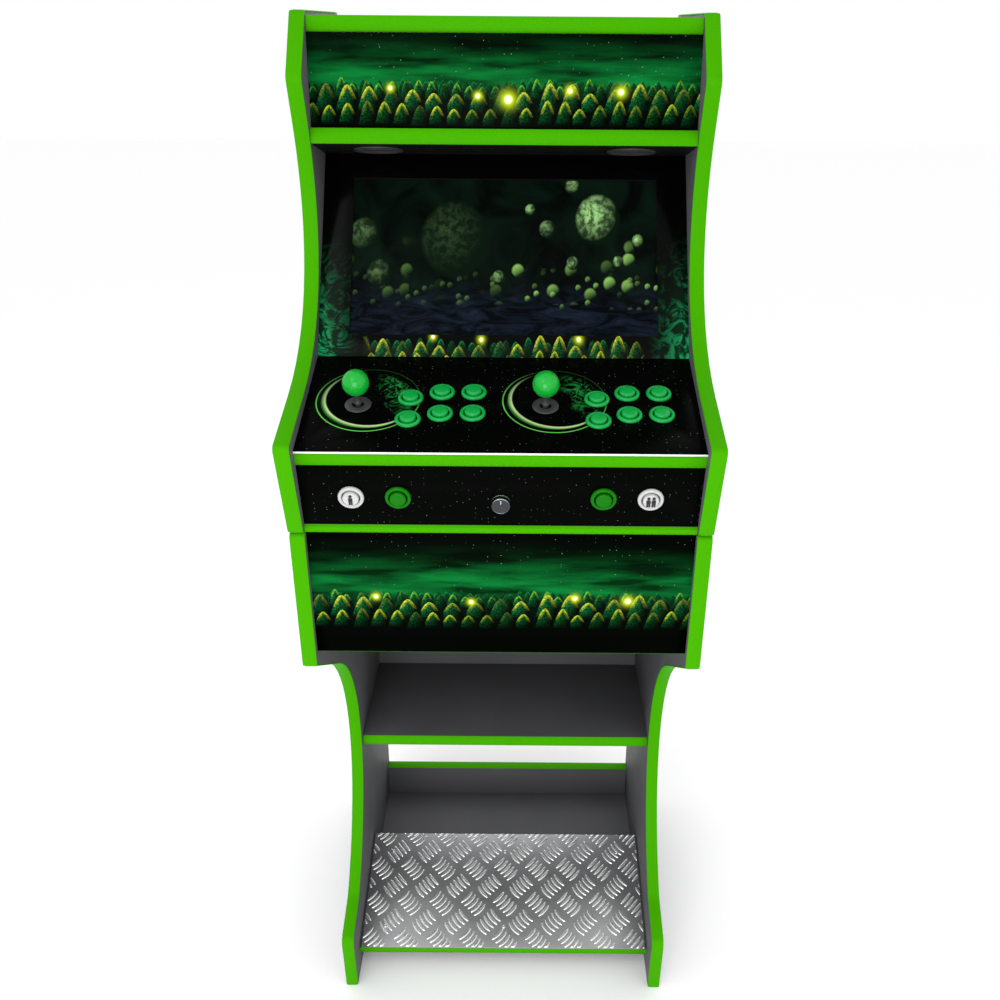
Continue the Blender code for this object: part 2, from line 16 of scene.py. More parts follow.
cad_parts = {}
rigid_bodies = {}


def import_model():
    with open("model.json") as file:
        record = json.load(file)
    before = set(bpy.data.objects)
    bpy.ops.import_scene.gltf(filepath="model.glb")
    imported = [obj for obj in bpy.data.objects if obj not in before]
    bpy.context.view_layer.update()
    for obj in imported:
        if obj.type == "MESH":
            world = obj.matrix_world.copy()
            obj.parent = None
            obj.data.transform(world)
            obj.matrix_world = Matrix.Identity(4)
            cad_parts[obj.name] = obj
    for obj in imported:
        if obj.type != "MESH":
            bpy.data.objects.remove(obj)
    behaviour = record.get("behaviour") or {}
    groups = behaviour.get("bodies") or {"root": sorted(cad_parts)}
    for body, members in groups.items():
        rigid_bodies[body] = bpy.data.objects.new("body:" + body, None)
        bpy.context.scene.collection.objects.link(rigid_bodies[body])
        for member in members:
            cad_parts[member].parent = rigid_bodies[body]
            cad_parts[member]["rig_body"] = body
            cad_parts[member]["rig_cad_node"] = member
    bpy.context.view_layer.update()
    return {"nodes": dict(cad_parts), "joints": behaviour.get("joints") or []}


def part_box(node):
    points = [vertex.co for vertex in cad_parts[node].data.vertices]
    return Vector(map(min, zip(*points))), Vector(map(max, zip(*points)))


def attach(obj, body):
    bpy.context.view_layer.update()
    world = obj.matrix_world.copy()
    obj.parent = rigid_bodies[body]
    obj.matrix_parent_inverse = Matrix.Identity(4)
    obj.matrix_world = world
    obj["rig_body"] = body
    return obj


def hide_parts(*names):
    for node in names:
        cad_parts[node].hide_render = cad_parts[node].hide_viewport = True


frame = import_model()
nodes = frame["nodes"]
MM = 0.001

# %% [markdown]
# ## Small helpers
#
# Blender's operators act on whatever is selected, so a helper first selects one piece alone. A
# second helper picks faces by their place and direction, as a maker would click on them.


# %% Selecting pieces and faces
def only(piece):
    """Selects one piece alone, in object mode."""
    if bpy.context.mode != "OBJECT":
        bpy.ops.object.mode_set(mode="OBJECT")
    bpy.ops.object.select_all(action="DESELECT")
    piece.select_set(True)
    bpy.context.view_layer.objects.active = piece
    return piece


def pick_faces(piece, wanted):
    """Selects the faces that wanted(centre, normal) is true for, and stays in object mode."""
    only(piece)
    bpy.ops.object.mode_set(mode="EDIT")
    bpy.ops.mesh.select_mode(type="FACE")
    bpy.ops.mesh.select_all(action="DESELECT")
    bpy.ops.object.mode_set(mode="OBJECT")
    for face in piece.data.polygons:
        face.select = bool(wanted(face.center, face.normal))
    return sum(face.select for face in piece.data.polygons)


# %% [markdown]
# A board and its edge are one solid with two finishes, so a helper gives the picked faces a
# finish of their own. Another breaks the sharp edges, as a router or a mould does, because a
# knife-sharp edge never catches the light and looks drawn.


# %% Painting faces and rounding edges
def paint_faces(piece, look, wanted):
    """Gives the picked faces a finish of their own."""
    count = pick_faces(piece, wanted)
    piece.data.materials.append(look)
    slot = len(piece.data.materials) - 1
    for face in piece.data.polygons:
        if face.select:
            face.material_index = slot
    return count


SMOOTH_UNDER = math.radians(32)  # two faces that meet at less than this are shaded as one curve


def round_edges(piece, width, segments=2, sharper_than=30):
    """Breaks the sharp edges, as a router or a mould does, and shades the curves smooth."""
    only(piece)
    easing = piece.modifiers.new("edge_easing", "BEVEL")
    easing.width = width
    easing.segments = segments
    easing.limit_method = "ANGLE"
    easing.angle_limit = math.radians(sharper_than)
    bpy.ops.object.modifier_apply(modifier=easing.name)
    bpy.ops.object.shade_smooth_by_angle(angle=SMOOTH_UNDER)
    return piece


# %% [markdown]
# Every finished piece belongs to a body, which is what moves: a stick, a button, the knob or
# the cabinet. It may stand for a solid of the model, which is then hidden.


# %% Putting a piece in its place
def settle(piece, body, slot, *stands_for):
    """Puts a finished piece on its body and hides the solids that it stands for."""
    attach(piece, body)
    if stands_for:
        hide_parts(*stands_for)
    return piece


# %% [markdown]
# ## Camera, floor and light
#
# The cabinet is shown from a standing customer's eye, a little over a metre in front of it and
# looking down at it. The lens is a normal one, held with a slight roll and slid a little to
# one side. The room is a white studio with broad soft lamps, which is how printed panels are
# lit so that they show no glare.

# %% Camera
SENSOR = 36.0
LENS_SHARE = 1.060  # focal length over sensor width
EYE = (0.0263, -1.5354, 1.555)
LOOKS_DOWN, ROLL = math.radians(24.11), math.radians(0.437)
eye = bpy.data.cameras.new("eye")
camera = bpy.data.objects.new("camera", eye)
bpy.context.scene.collection.objects.link(camera)
bpy.context.scene.camera = camera
eye.sensor_width = SENSOR
eye.lens = SENSOR * LENS_SHARE
eye.clip_start = 0.05
eye.shift_x = -0.0214
camera.location = EYE
camera.rotation_mode = "XYZ"
tilt_down = Matrix.Rotation(math.radians(90) - LOOKS_DOWN, 4, "X")
camera.rotation_euler = (tilt_down @ Matrix.Rotation(ROLL, 4, "Z")).to_euler()
print("camera:", EYE, "lens", round(eye.lens, 1), "mm")

# %% Floor and white room
FLOOR_WHITE = 0.985
bpy.ops.mesh.primitive_plane_add(size=30, location=(0, 0, -0.0005))
floor = bpy.context.active_object
floor.name = "studio_floor"
floor_paint = bpy.data.materials.new("studio_floor_paint")
floor_paint.use_nodes = True
floor_shader = floor_paint.node_tree.nodes["Principled BSDF"]
floor_shader.inputs["Base Color"].default_value = (FLOOR_WHITE, FLOOR_WHITE, FLOOR_WHITE, 1)
floor_shader.inputs["Roughness"].default_value = 0.9
floor.data.materials.append(floor_paint)

world = bpy.data.worlds.new("studio")
bpy.context.scene.world = world
world.use_nodes = True
world.node_tree.nodes["Background"].inputs["Color"].default_value = (1, 1, 1, 1)
world.node_tree.nodes["Background"].inputs["Strength"].default_value = 1.0
bpy.context.scene.view_settings.view_transform = "Standard"
print("floor:", floor.name, "white", FLOOR_WHITE)

# %% [markdown]
# Four square lamps stand round the cabinet. Each row gives a lamp's name, its place, its width,
# the height that it is aimed at and its power in watts. The low one lights the open stand, which
# would be a black hole under its own shelf without it.

# %% Lamps
LAMPS = [("key", (-1.4, -2.2, 3.2), 1.6, 0.85, 14), ("fill", (1.9, -2.6, 2.4), 2.0, 0.85, 6),
         ("low", (-0.3, -2.4, 1.1), 1.2, 0.35, 24), ("back", (0.0, 2.6, 2.6), 2.0, 0.85, 16)]
for name, place, size, aim_height, power in LAMPS:
    lamp = bpy.data.lights.new(name, "AREA")
    lamp.size = size
    lamp.energy = power
    held = bpy.data.objects.new(name, lamp)
    held.location = place
    aim = Vector((0, 0, aim_height)) - held.location
    held.rotation_euler = aim.to_track_quat("-Z", "Y").to_euler()
    bpy.context.scene.collection.objects.link(held)
print("lamps:", [row[0] for row in LAMPS])

# %% [markdown]
# ## Finishes
#
# A finish is a small network of nodes that ends in one shader. The helper adds any node and
# links its inputs, so that every recipe below reads as one chain. Patterns are measured in
# millimetres on the object itself, so that a speck or a grain keeps its real size.


# %% Making a finish
def linear(code):
    """The linear colour of an sRGB hex value."""
    parts = [int(code[i:i + 2], 16) / 255 for i in (1, 3, 5)]
    return [p / 12.92 if p <= 0.04045 else ((p + 0.055) / 1.055) ** 2.4 for p in parts] + [1.0]


def fill(tree, made, inputs):
    """Sets a node's inputs: a value is stored and a socket is linked."""
    for key, value in inputs.items():
        if isinstance(value, bpy.types.NodeSocket):
            tree.links.new(value, made.inputs[key])
        else:
            made.inputs[key].default_value = linear(value) if isinstance(value, str) else value


def add(tree, kind, inputs=None, out=0, **settings):
    """Adds one node with its settings and inputs, and returns the socket that it gives."""
    made = tree.nodes.new("ShaderNode" + kind)
    for key, value in settings.items():
        setattr(made, key, value)
    fill(tree, made, inputs or {})
    return made.outputs[out]


def finish(name, **inputs):
    """A new finish, with its shader's plain settings. Returns (finish, tree, shader)."""
    made = bpy.data.materials.new(name)
    made.use_nodes = True
    tree = made.node_tree
    shader = tree.nodes["Principled BSDF"]
    fill(tree, shader, {key.replace("_", " "): value for key, value in inputs.items()})
    return made, tree, shader


# %% [markdown]
# A printed dot or a grain has a real size, so a pattern is laid out in millimetres. Real
# surfaces are never even either: the next helper varies the gloss over small grains and lifts
# them by a few hundredths of a millimetre.


# %% Measuring in millimetres
def in_mm(tree):
    """The object's own coordinates in millimetres: (vector, x, y, z)."""
    metres = add(tree, "TexCoord", out="Object")
    vector = add(tree, "VectorMath", {0: metres, "Scale": 1 / MM}, operation="SCALE")
    x = add(tree, "SeparateXYZ", {0: vector}, out=0)
    return vector, x, x.node.outputs[1], x.node.outputs[2]


def mottle(tree, shader, vector, size, low, high, bump, softness=0.5):
    """Uneven gloss and a slight relief with grains of the given size in millimetres."""
    grain = add(tree, "TexNoise", {"Vector": vector, "Scale": 1 / size, "Detail": 3.0,
                                   "Roughness": softness}, out=0)
    gloss = add(tree, "MapRange", {0: grain, 1: 0.3, 2: 0.7, 3: low, 4: high})
    relief = add(tree, "Bump", {"Height": grain, "Strength": 1.0, "Distance": bump * MM})
    fill(tree, shader, {"Roughness": gloss, "Normal": relief})
    return grain


# %% [markdown]
# ### Melamine-faced board
# Black MDF board has a resin-soaked paper face, pressed on a finely pebbled steel plate. It
# gives a dark grey, satin surface with a fine leathery grain. The grain of the real plate is
# about a third of a millimetre, and it is drawn at over twice that so that it shows.

# %% Board finish
BOARD, tree, shader = finish("black_melamine_board", Specular_IOR_Level=0.3)
vector, x, y, z = in_mm(tree)
grain = mottle(tree, shader, vector, 0.8, 0.50, 0.68, 0.05)
cloud = add(tree, "TexNoise", {"Vector": vector, "Scale": 1 / 90, "Detail": 2.0}, out=0)
shade = add(tree, "MixRGB", {0: cloud, 1: "#505052", 2: "#5E5E61"})
speck = add(tree, "MapRange", {0: grain, 1: 0.58, 2: 0.72, 3: 0.0, 4: 0.5})
fill(tree, shader, {"Base Color": add(tree, "MixRGB", {0: speck, 1: shade, 2: "#6C6C70"})})
print("board finish:", BOARD.name)

# %% [markdown]
# ### Edge moulding
# The green edging is extruded soft PVC with a barbed tongue that is hammered into a groove. An
# extruded strip is even in colour and satin, with very faint lines along its length.

# %% Moulding finish
MOULDING, tree, shader = finish("extruded_green_pvc", Specular_IOR_Level=0.02)
vector, x, y, z = in_mm(tree)
grain = mottle(tree, shader, vector, 1.6, 0.38, 0.50, 0.03)
fill(tree, shader, {"Base Color": add(tree, "MixRGB", {0: grain, 1: "#3A9500", 2: "#429F00"})})
print("moulding finish:", MOULDING.name)

# %% [markdown]
# ### Printed night sky
# The printed sheets share one picture: a black sky with small stars, bands of green mist, and
# rows of pointed leaves with glowing edges. It is a plain landscape of the maker's own, with
# no lettering and no figure. Each element is worked out from its place in millimetres across
# and up the panel. The stars come from a cell pattern: each cell has one point, and a point
# shows only if the cell's random number is high.


# %% Stars
def star_field(tree, across, up, spacing=9.0, strength=0.35):
    """Small faint stars, one to a cell, of very uneven brightness."""
    flat = add(tree, "CombineXYZ", {0: across, 1: up})
    inputs = {"Vector": flat, "Scale": 1 / spacing}
    near = add(tree, "TexVoronoi", inputs, out="Distance", voronoi_dimensions="2D")
    chance = add(tree, "SeparateColor", {0: near.node.outputs["Color"]}, out=0)
    bright = add(tree, "Math", {0: chance, 1: 10.0}, operation="POWER")
    dot = add(tree, "MapRange", {0: near, 1: 0.03, 2: 0.07, 3: strength, 4: 0.0})
    return add(tree, "Math", {0: dot, 1: bright}, operation="MULTIPLY")


# %% [markdown]
# Mist lies in flat bands, so the noise is stretched sideways. A bell curve round the centre
# height makes it fade above and below.


# %% Mist
def mist(tree, across, up, centre, spread):
    """Bands of mist that fade above and below their centre."""
    wide = add(tree, "Math", {0: across, 1: 0.008}, operation="MULTIPLY")
    high = add(tree, "Math", {0: up, 1: 0.055}, operation="MULTIPLY")
    flat = add(tree, "CombineXYZ", {0: wide, 1: high})
    cloud = add(tree, "TexNoise", {"Vector": flat, "Scale": 1.0, "Detail": 3.0}, out=0)
    thick = add(tree, "MapRange", {0: cloud, 1: 0.36, 2: 0.64, 3: 0.12, 4: 1.0})
    offset = add(tree, "Math", {0: up, 1: centre}, operation="SUBTRACT")
    share = add(tree, "Math", {0: offset, 1: spread}, operation="DIVIDE")
    square = add(tree, "Math", {0: share, 1: share}, operation="MULTIPLY")
    falling = add(tree, "Math", {0: square, 1: -1.0}, operation="MULTIPLY")
    fade = add(tree, "Math", {0: falling}, operation="EXPONENT")
    return add(tree, "Math", {0: thick, 1: fade}, operation="MULTIPLY")


# %% [markdown]
# A row is cut into strips of one pitch. The strip's number feeds a random number, which sets
# how tall the leaf is, how far it leans and how low it stands, so that no two neighbours are
# alike. The leaf is widest at its foot and narrows to a point as a power curve does. It is lit
# from the left, its edge glows near the tip, and a fine noise breaks up its surface.


# %% Leaves
def leaf_row(tree, under, across, up, pitch, base, height, shift, dark, lit, rim):
    """One row of pointed leaves painted over the colour under it."""
    step = add(tree, "Math", {0: across, 1: 1 / pitch, 2: shift}, operation="MULTIPLY_ADD")
    index = add(tree, "Math", {0: step}, operation="FLOOR")
    luck = add(tree, "TexWhiteNoise", {"W": index}, out=0, noise_dimensions="1D")
    chance = add(tree, "SeparateColor", {0: luck.node.outputs["Color"]}, out=1)
    local = add(tree, "Math", {0: step}, operation="FRACT")
    lean = add(tree, "MapRange", {0: luck, 1: 0.0, 2: 1.0, 3: 0.38, 4: 0.62})
    side = add(tree, "Math", {0: local, 1: lean}, operation="SUBTRACT")
    away = add(tree, "Math", {0: side}, operation="ABSOLUTE")
    tall = add(tree, "MapRange", {0: luck, 1: 0.0, 2: 1.0, 3: 0.62 * height, 4: height})
    lifted = add(tree, "Math", {0: chance, 1: -0.16 * height, 2: up}, operation="MULTIPLY_ADD")
    above = add(tree, "Math", {0: lifted, 1: base}, operation="SUBTRACT")
    share = add(tree, "Math", {0: above, 1: tall}, operation="DIVIDE", use_clamp=True)
    left = add(tree, "Math", {0: 1.0, 1: share}, operation="SUBTRACT")
    width = add(tree, "Math", {0: left, 1: 0.55}, operation="POWER")
    half = add(tree, "Math", {0: width, 1: 0.58}, operation="MULTIPLY")
    depth = add(tree, "Math", {0: half, 1: away}, operation="SUBTRACT")
    cover = add(tree, "MapRange", {0: depth, 1: 0.0, 2: 0.03, 3: 0.0, 4: 1.0})
    flat = add(tree, "CombineXYZ", {0: across, 1: up})
    grit = add(tree, "TexNoise", {"Vector": flat, "Scale": 1 / 2.6, "Detail": 4.0,
                                  "Roughness": 0.7}, out=0)
    flecks = add(tree, "MapRange", {0: grit, 1: 0.44, 2: 0.60, 3: 0.0, 4: 1.0})
    round_side = add(tree, "MapRange", {0: side, 1: -0.45, 2: 0.30, 3: 1.0, 4: 0.0})
    rising = add(tree, "MapRange", {0: share, 1: 0.05, 2: 0.80, 3: 0.0, 4: 1.0})
    light = add(tree, "Math", {0: rising, 1: round_side}, operation="MULTIPLY")
    veined = add(tree, "Math", {0: flecks, 1: 0.85, 2: 0.15}, operation="MULTIPLY_ADD")
    light = add(tree, "Math", {0: light, 1: veined}, operation="MULTIPLY")
    uneven = add(tree, "Math", {0: chance, 1: 0.7, 2: 0.4}, operation="MULTIPLY_ADD")
    light = add(tree, "Math", {0: light, 1: uneven}, operation="MULTIPLY")
    body = add(tree, "MixRGB", {0: light, 1: dark, 2: lit})
    edge = add(tree, "MapRange", {0: depth, 1: 0.04, 2: 0.21, 3: 1.0, 4: 0.0})
    high = add(tree, "MapRange", {0: share, 1: 0.45, 2: 0.90, 3: 0.0, 4: 1.0})
    lucky = add(tree, "MapRange", {0: chance, 1: 0.15, 2: 0.55, 3: 0.1, 4: 1.0})
    glow = high
    one_side = add(tree, "Math", {0: round_side, 1: 0.7, 2: 0.3}, operation="MULTIPLY_ADD")
    grainy = add(tree, "Math", {0: veined, 1: 0.5}, operation="POWER")
    for part in (edge, lucky, grainy, one_side):
        glow = add(tree, "Math", {0: glow, 1: part}, operation="MULTIPLY")
    leaf = add(tree, "MixRGB", {0: glow, 1: body, 2: rim})
    return add(tree, "MixRGB", {0: cover, 1: under, 2: leaf})


# %% [markdown]
# A glow is bright in its middle and falls off on a bell curve, with a hard white core.


# %% Small warm lights
def firefly(tree, under, across, up, place, size):
    """A small warm light with a soft halo."""
    here = add(tree, "CombineXYZ", {0: across, 1: up})
    reach = add(tree, "VectorMath", {0: here, 1: (*place, 0.0)}, out="Value", operation="DISTANCE")
    share = add(tree, "Math", {0: reach, 1: size}, operation="DIVIDE")
    square = add(tree, "Math", {0: share, 1: share}, operation="MULTIPLY")
    falling = add(tree, "Math", {0: square, 1: -1.0}, operation="MULTIPLY")
    halo = add(tree, "Math", {0: falling}, operation="EXPONENT")
    core = add(tree, "MapRange", {0: share, 1: 0.2, 2: 0.7, 3: 1.0, 4: 0.0})
    lit = add(tree, "MixRGB", {0: halo, 1: under, 2: "#C8E018"})
    return add(tree, "MixRGB", {0: core, 1: lit, 2: "#FFFFE0"})


# %% [markdown]
# The picture is painted from the back to the front: sky, mist, stars and then four rows of
# leaves. A row gives its pitch, the height of its foot, its leaf height, a shift sideways, and
# the colours of a leaf's shade, of its lit side and of its glowing edge.


# %% The whole picture
def landscape(tree, across, up, mist_at, mist_spread, ground, scale=1.0):
    """The whole picture: sky, mist and four rows of leaves, standing at ground."""
    haze = mist(tree, across, up, mist_at, mist_spread)
    sky = add(tree, "MixRGB", {0: haze, 1: "#010201", 2: "#086A2C"})
    stars = star_field(tree, across, up)
    sky = add(tree, "MixRGB", {0: stars, 1: sky, 2: "#E8FFF0"})
    rows = [(11, 24, 16, 0.30, "#04200F", "#0C7038", "#1CA04F"),
            (18, 10, 30, 0.10, "#010B05", "#128A40", "#8AE03A"),
            (31, -8, 42, 0.55, "#010603", "#18A050", "#FAFA38"),
            (25, -24, 36, 0.20, "#010402", "#108438", "#EAF42C")]
    picture = sky
    for pitch, base, height, shift, dark, lit, rim in rows:
        picture = leaf_row(tree, picture, across, up, pitch * scale, ground + base * scale,
                           height * scale, shift, dark, lit, rim)
    return picture


# %% [markdown]
# The sign and the stand's front panel carry the whole picture. Both are digital prints behind a
# sheet that hardly reflects, so black stays black. The sign glows faintly with the lamp behind
# it. The stand's panel has no lamp, and its faint glow is painted light that keeps the colours
# clear. The small lights are listed in millimetres across and up the panel.

# %% Sign print
sign_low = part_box("sign_panel")[0]
SIGN_PRINT, tree, shader = finish("backlit_sign_print", Roughness=0.3,
                                  Specular_IOR_Level=0.01)
vector, x, y, z = in_mm(tree)
up = add(tree, "Math", {0: z, 1: sign_low.z / MM}, operation="SUBTRACT")
picture = landscape(tree, x, up, 60, 30, 22, 0.95)
for spot, size in (((-150, 49), 4.5), ((-35, 40), 5.0), ((5, 36), 9.0), ((86, 47), 5.5),
                   ((153, 46), 6.5)):
    picture = firefly(tree, picture, x, up, spot, size)
fill(tree, shader, {"Base Color": picture, "Emission Color": picture,
                    "Emission Strength": 0.2})
print("sign print:", SIGN_PRINT.name)

# %% [markdown]
# The stand's print is laid out in the same way. Its leaves stand higher on their panel, and
# everything fades to black towards the lower edge.

# %% Stand print
panel_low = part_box("stand_front_panel")[0]
STAND_PRINT, tree, shader = finish("stand_panel_print", Roughness=0.3,
                                   Specular_IOR_Level=0.01)
vector, x, y, z = in_mm(tree)
up = add(tree, "Math", {0: z, 1: panel_low.z / MM}, operation="SUBTRACT")
picture = landscape(tree, x, up, 112, 30, 62, 1.0)
for spot, size in (((-170, 93), 5.0), ((-41, 85), 5.0), ((100, 92), 5.5), ((172, 88), 7.0)):
    picture = firefly(tree, picture, x, up, spot, size)
dusk = add(tree, "MapRange", {0: up, 1: 25.0, 2: 58.0, 3: 1.0, 4: 0.0})
picture = add(tree, "MixRGB", {0: dusk, 1: picture, 2: "#000100"})
# Painted glow: the stand's print has no lamp behind it, and this emission lifts its colours.
fill(tree, shader, {"Base Color": picture, "Emission Color": picture,
                    "Emission Strength": 0.15})
print("stand print:", STAND_PRINT.name)

# %% [markdown]
# The screen's surround is one acrylic sheet printed black on its back, with green smoke in its
# lower corners and a strip of the leaves under the window. The smoke is a noise that is bent by
# itself, which draws it out in curls, and it fades inwards and upwards on square curves.

# %% Surround print
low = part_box("screen_surround")[0]
SURROUND_PRINT, tree, shader = finish("surround_acrylic_print", Roughness=0.2,
                                      Specular_IOR_Level=0.05)
vector, x, y, z = in_mm(tree)
up = add(tree, "Math", {0: z, 1: low.z / MM}, operation="SUBTRACT")
wide = add(tree, "Math", {0: x}, operation="ABSOLUTE")
plume = add(tree, "TexNoise", {"Vector": vector, "Scale": 1 / 34, "Detail": 4.0,
                               "Roughness": 0.6, "Distortion": 3.2}, out=0)
thick = add(tree, "MapRange", {0: plume, 1: 0.48, 2: 0.60, 3: 0.08, 4: 1.0})
outer = add(tree, "MapRange", {0: wide, 1: 196.0, 2: 252.0, 3: 0.0, 4: 1.0})
outer = add(tree, "Math", {0: outer, 1: 2.0}, operation="POWER")
lower = add(tree, "MapRange", {0: up, 1: 10.0, 2: 165.0, 3: 1.0, 4: 0.0})
lower = add(tree, "Math", {0: lower, 1: 2.0}, operation="POWER")
share = add(tree, "Math", {0: outer, 1: lower}, operation="MULTIPLY")
smoke = add(tree, "Math", {0: share, 1: thick}, operation="MULTIPLY")
black = add(tree, "MixRGB", {0: smoke, 1: "#010201", 2: "#1C9A5C"})
strip = leaf_row(tree, black, x, up, 15, 6, 20, 0.3, "#02140A", "#0C7038", "#1CA04F")
strip = leaf_row(tree, strip, x, up, 27, -12, 40, 0.7, "#010603", "#18A050", "#FAFA38")
strip = leaf_row(tree, strip, x, up, 21, -20, 30, 0.2, "#010402", "#108438", "#EAF42C")
for spot, size in (((-98, 27), 4.0), ((-31, 24), 4.5), ((104, 25), 5.0)):
    strip = firefly(tree, strip, x, up, spot, size)
inside = add(tree, "MapRange", {0: wide, 1: 175.0, 2: 195.0, 3: 1.0, 4: 0.0})
picture = add(tree, "MixRGB", {0: inside, 1: black, 2: strip})
# Painted glow: nothing lights this sheet from behind, and this emission lifts its colours.
fill(tree, shader, {"Base Color": picture, "Emission Color": picture,
                    "Emission Strength": 0.15})
print("surround print:", SURROUND_PRINT.name)

# %% [markdown]
# ### The lit screen
# The monitor shows a dark cave with glowing green beads over a blue-black ground. A screen
# makes its own light, so its picture goes to the emission and its surface is nearly black. The
# cave and the ground come first: two noises, the second stretched sideways like bedded rock.

# %% Cave and ground
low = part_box("monitor")[0]
SCREEN, tree, shader = finish("lit_screen_glass", Roughness=0.35, Specular_IOR_Level=0.01)
vector, x, y, z = in_mm(tree)
up = add(tree, "Math", {0: z, 1: low.z / MM}, operation="SUBTRACT")
flat = add(tree, "CombineXYZ", {0: x, 1: up})
haze = add(tree, "TexNoise", {"Vector": flat, "Scale": 1 / 75, "Detail": 5.0,
                              "Roughness": 0.55, "Distortion": 0.8}, out=0)
depth = add(tree, "MapRange", {0: haze, 1: 0.40, 2: 0.72, 3: 0.0, 4: 1.0})
cave = add(tree, "MixRGB", {0: depth, 1: "#030504", 2: "#0C1F13"})
ridges = add(tree, "VectorMath", {0: flat, 1: (1.0, 3.4, 1.0)}, operation="MULTIPLY")
rock = add(tree, "TexNoise", {"Vector": ridges, "Scale": 1 / 60, "Detail": 7.0,
                              "Roughness": 0.65, "Distortion": 1.5}, out=0)
stone = add(tree, "MapRange", {0: rock, 1: 0.42, 2: 0.70, 3: 0.0, 4: 1.0})
ground = add(tree, "MixRGB", {0: stone, 1: "#04060A", 2: "#1E2838"})
level = add(tree, "MapRange", {0: up, 1: 62.0, 2: 98.0, 3: 1.0, 4: 0.0})
scene_colour = add(tree, "MixRGB", {0: level, 1: cave, 2: ground})
print("screen height starts at", round(low.z, 3), "m")

# %% [markdown]
# The small beads come from two cell patterns, a coarse and a fine one. Each cell's point is a
# bead if its random number is high enough, and the way from the point to the place that is
# painted says which side of the bead that is: its upper left is lit. The rows give the cell
# size, the heights between which beads show, and the least random number.

# %% Small beads
for spacing, low_up, high_up, least in ((26, 66, 150, 0.62), (12, 60, 112, 0.60)):
    near = add(tree, "TexVoronoi", {"Vector": flat, "Scale": 1 / spacing, "Randomness": 0.8},
               out="Distance", voronoi_dimensions="2D")
    chance = add(tree, "SeparateColor", {0: near.node.outputs["Color"]}, out=0)
    lucky = add(tree, "MapRange", {0: chance, 1: least, 2: 0.9, 3: 0.0, 4: 1.0})
    disc = add(tree, "MapRange", {0: near, 1: 0.26, 2: 0.36, 3: 1.0, 4: 0.0})
    aside = add(tree, "VectorMath", {0: flat, 1: near.node.outputs["Position"]},
                operation="SUBTRACT")
    toward = add(tree, "VectorMath", {0: aside, 1: (-0.5, 0.85, 0.0)}, out="Value",
                 operation="DOT_PRODUCT")
    lit = add(tree, "MapRange", {0: toward, 1: -0.2 * spacing, 2: 0.28 * spacing, 3: 0.0, 4: 1.0})
    bead = add(tree, "MixRGB", {0: lit, 1: "#0C2412", 2: "#A8E874"})
    rise = add(tree, "MapRange", {0: up, 1: low_up, 2: low_up + 22.0, 3: 0.0, 4: 1.0})
    drop = add(tree, "MapRange", {0: up, 1: high_up - 30.0, 2: high_up, 3: 1.0, 4: 0.0})
    right = add(tree, "MapRange", {0: x, 1: -90.0, 2: 60.0, 3: 0.2, 4: 1.0})
    power = disc
    for share in (lucky, rise, drop, right):
        power = add(tree, "Math", {0: power, 1: share}, operation="MULTIPLY")
    scene_colour = add(tree, "MixRGB", {0: power, 1: scene_colour, 2: bead})
print("bead patterns mixed")

# %% [markdown]
# The large beads are listed one by one, with the biggest at the right and some dim ones far back
# at the left. A row gives the middle across and up, the radius, and how strongly the bead glows.

# %% Large beads
blotch = add(tree, "TexNoise", {"Vector": flat, "Scale": 1 / 9, "Detail": 4.0,
                                "Roughness": 0.6, "Distortion": 0.6}, out=0)
blotch = add(tree, "MapRange", {0: blotch, 1: 0.42, 2: 0.60, 3: 0.15, 4: 1.0})
for place, radius, glow in (((-70, 146), 50, 0.06), ((-198, 152), 22, 0.22),
                            ((-176, 104), 18, 0.20), ((36, 184), 8, 0.8), ((60, 160), 12, 0.5),
                            ((132, 172), 33, 1.0), ((188, 146), 9, 0.9), ((160, 120), 8, 1.0),
                            ((96, 118), 9, 0.8), ((96, 214), 11, 0.7), ((-8, 100), 9, 0.8)):
    centre = (place[0] - radius * 0.25, place[1] + radius * 0.25, 0.0)
    body = add(tree, "VectorMath", {0: flat, 1: (*place, 0.0)}, out="Value",
               operation="DISTANCE")
    shine = add(tree, "VectorMath", {0: flat, 1: centre}, out="Value", operation="DISTANCE")
    cover = add(tree, "MapRange", {0: body, 1: radius * 0.88, 2: float(radius), 3: 0.95, 4: 0.0})
    lit = add(tree, "MapRange", {0: shine, 1: 0.0, 2: radius * 1.05, 3: 1.0, 4: 0.0})
    cloudy = add(tree, "Math", {0: lit, 1: blotch}, operation="MULTIPLY")
    cloudy = add(tree, "Math", {0: cloudy, 1: glow}, operation="MULTIPLY")
    tint = add(tree, "MixRGB", {0: cloudy, 1: "#08180C", 2: "#C0FFA0"})
    scene_colour = add(tree, "MixRGB", {0: cover, 1: scene_colour, 2: tint})
fill(tree, shader, {"Base Color": "#020303", "Emission Color": scene_colour,
                    "Emission Strength": 0.9})
print("screen picture:", len(tree.nodes), "nodes")

# %% [markdown]
# ### Control panel sheet
# The joysticks stand in printed rings on a black starry sheet, which a clear cover protects.
# Each ring is a thin circle with a crescent inside it: the space between two circles whose
# centres are a few millimetres apart. Distances up the slope are the depth over its cosine.


# %% Circles and bands
def reach(tree, flat, middle, shift=(0, 0)):
    """How far a place is from a ring's middle, or from a point beside it."""
    centre = (middle[0] + shift[0], middle[1] + shift[1], 0.0)
    return add(tree, "VectorMath", {0: flat, 1: centre}, out="Value", operation="DISTANCE")


def band(tree, distance, inner, outer, blur):
    """One between two radii and nothing outside them, with soft edges."""
    rise = add(tree, "MapRange", {0: distance, 1: inner, 2: inner + blur, 3: 0.0, 4: 1.0})
    drop = add(tree, "MapRange", {0: distance, 1: outer - blur, 2: outer, 3: 1.0, 4: 0.0})
    return add(tree, "Math", {0: rise, 1: drop}, operation="MULTIPLY")


# %% [markdown]
# A ring is brightest at its lower left, as if a lamp stood there. The way from its middle to a
# place gives the side. Wisps of smoke fill the ring's right side.

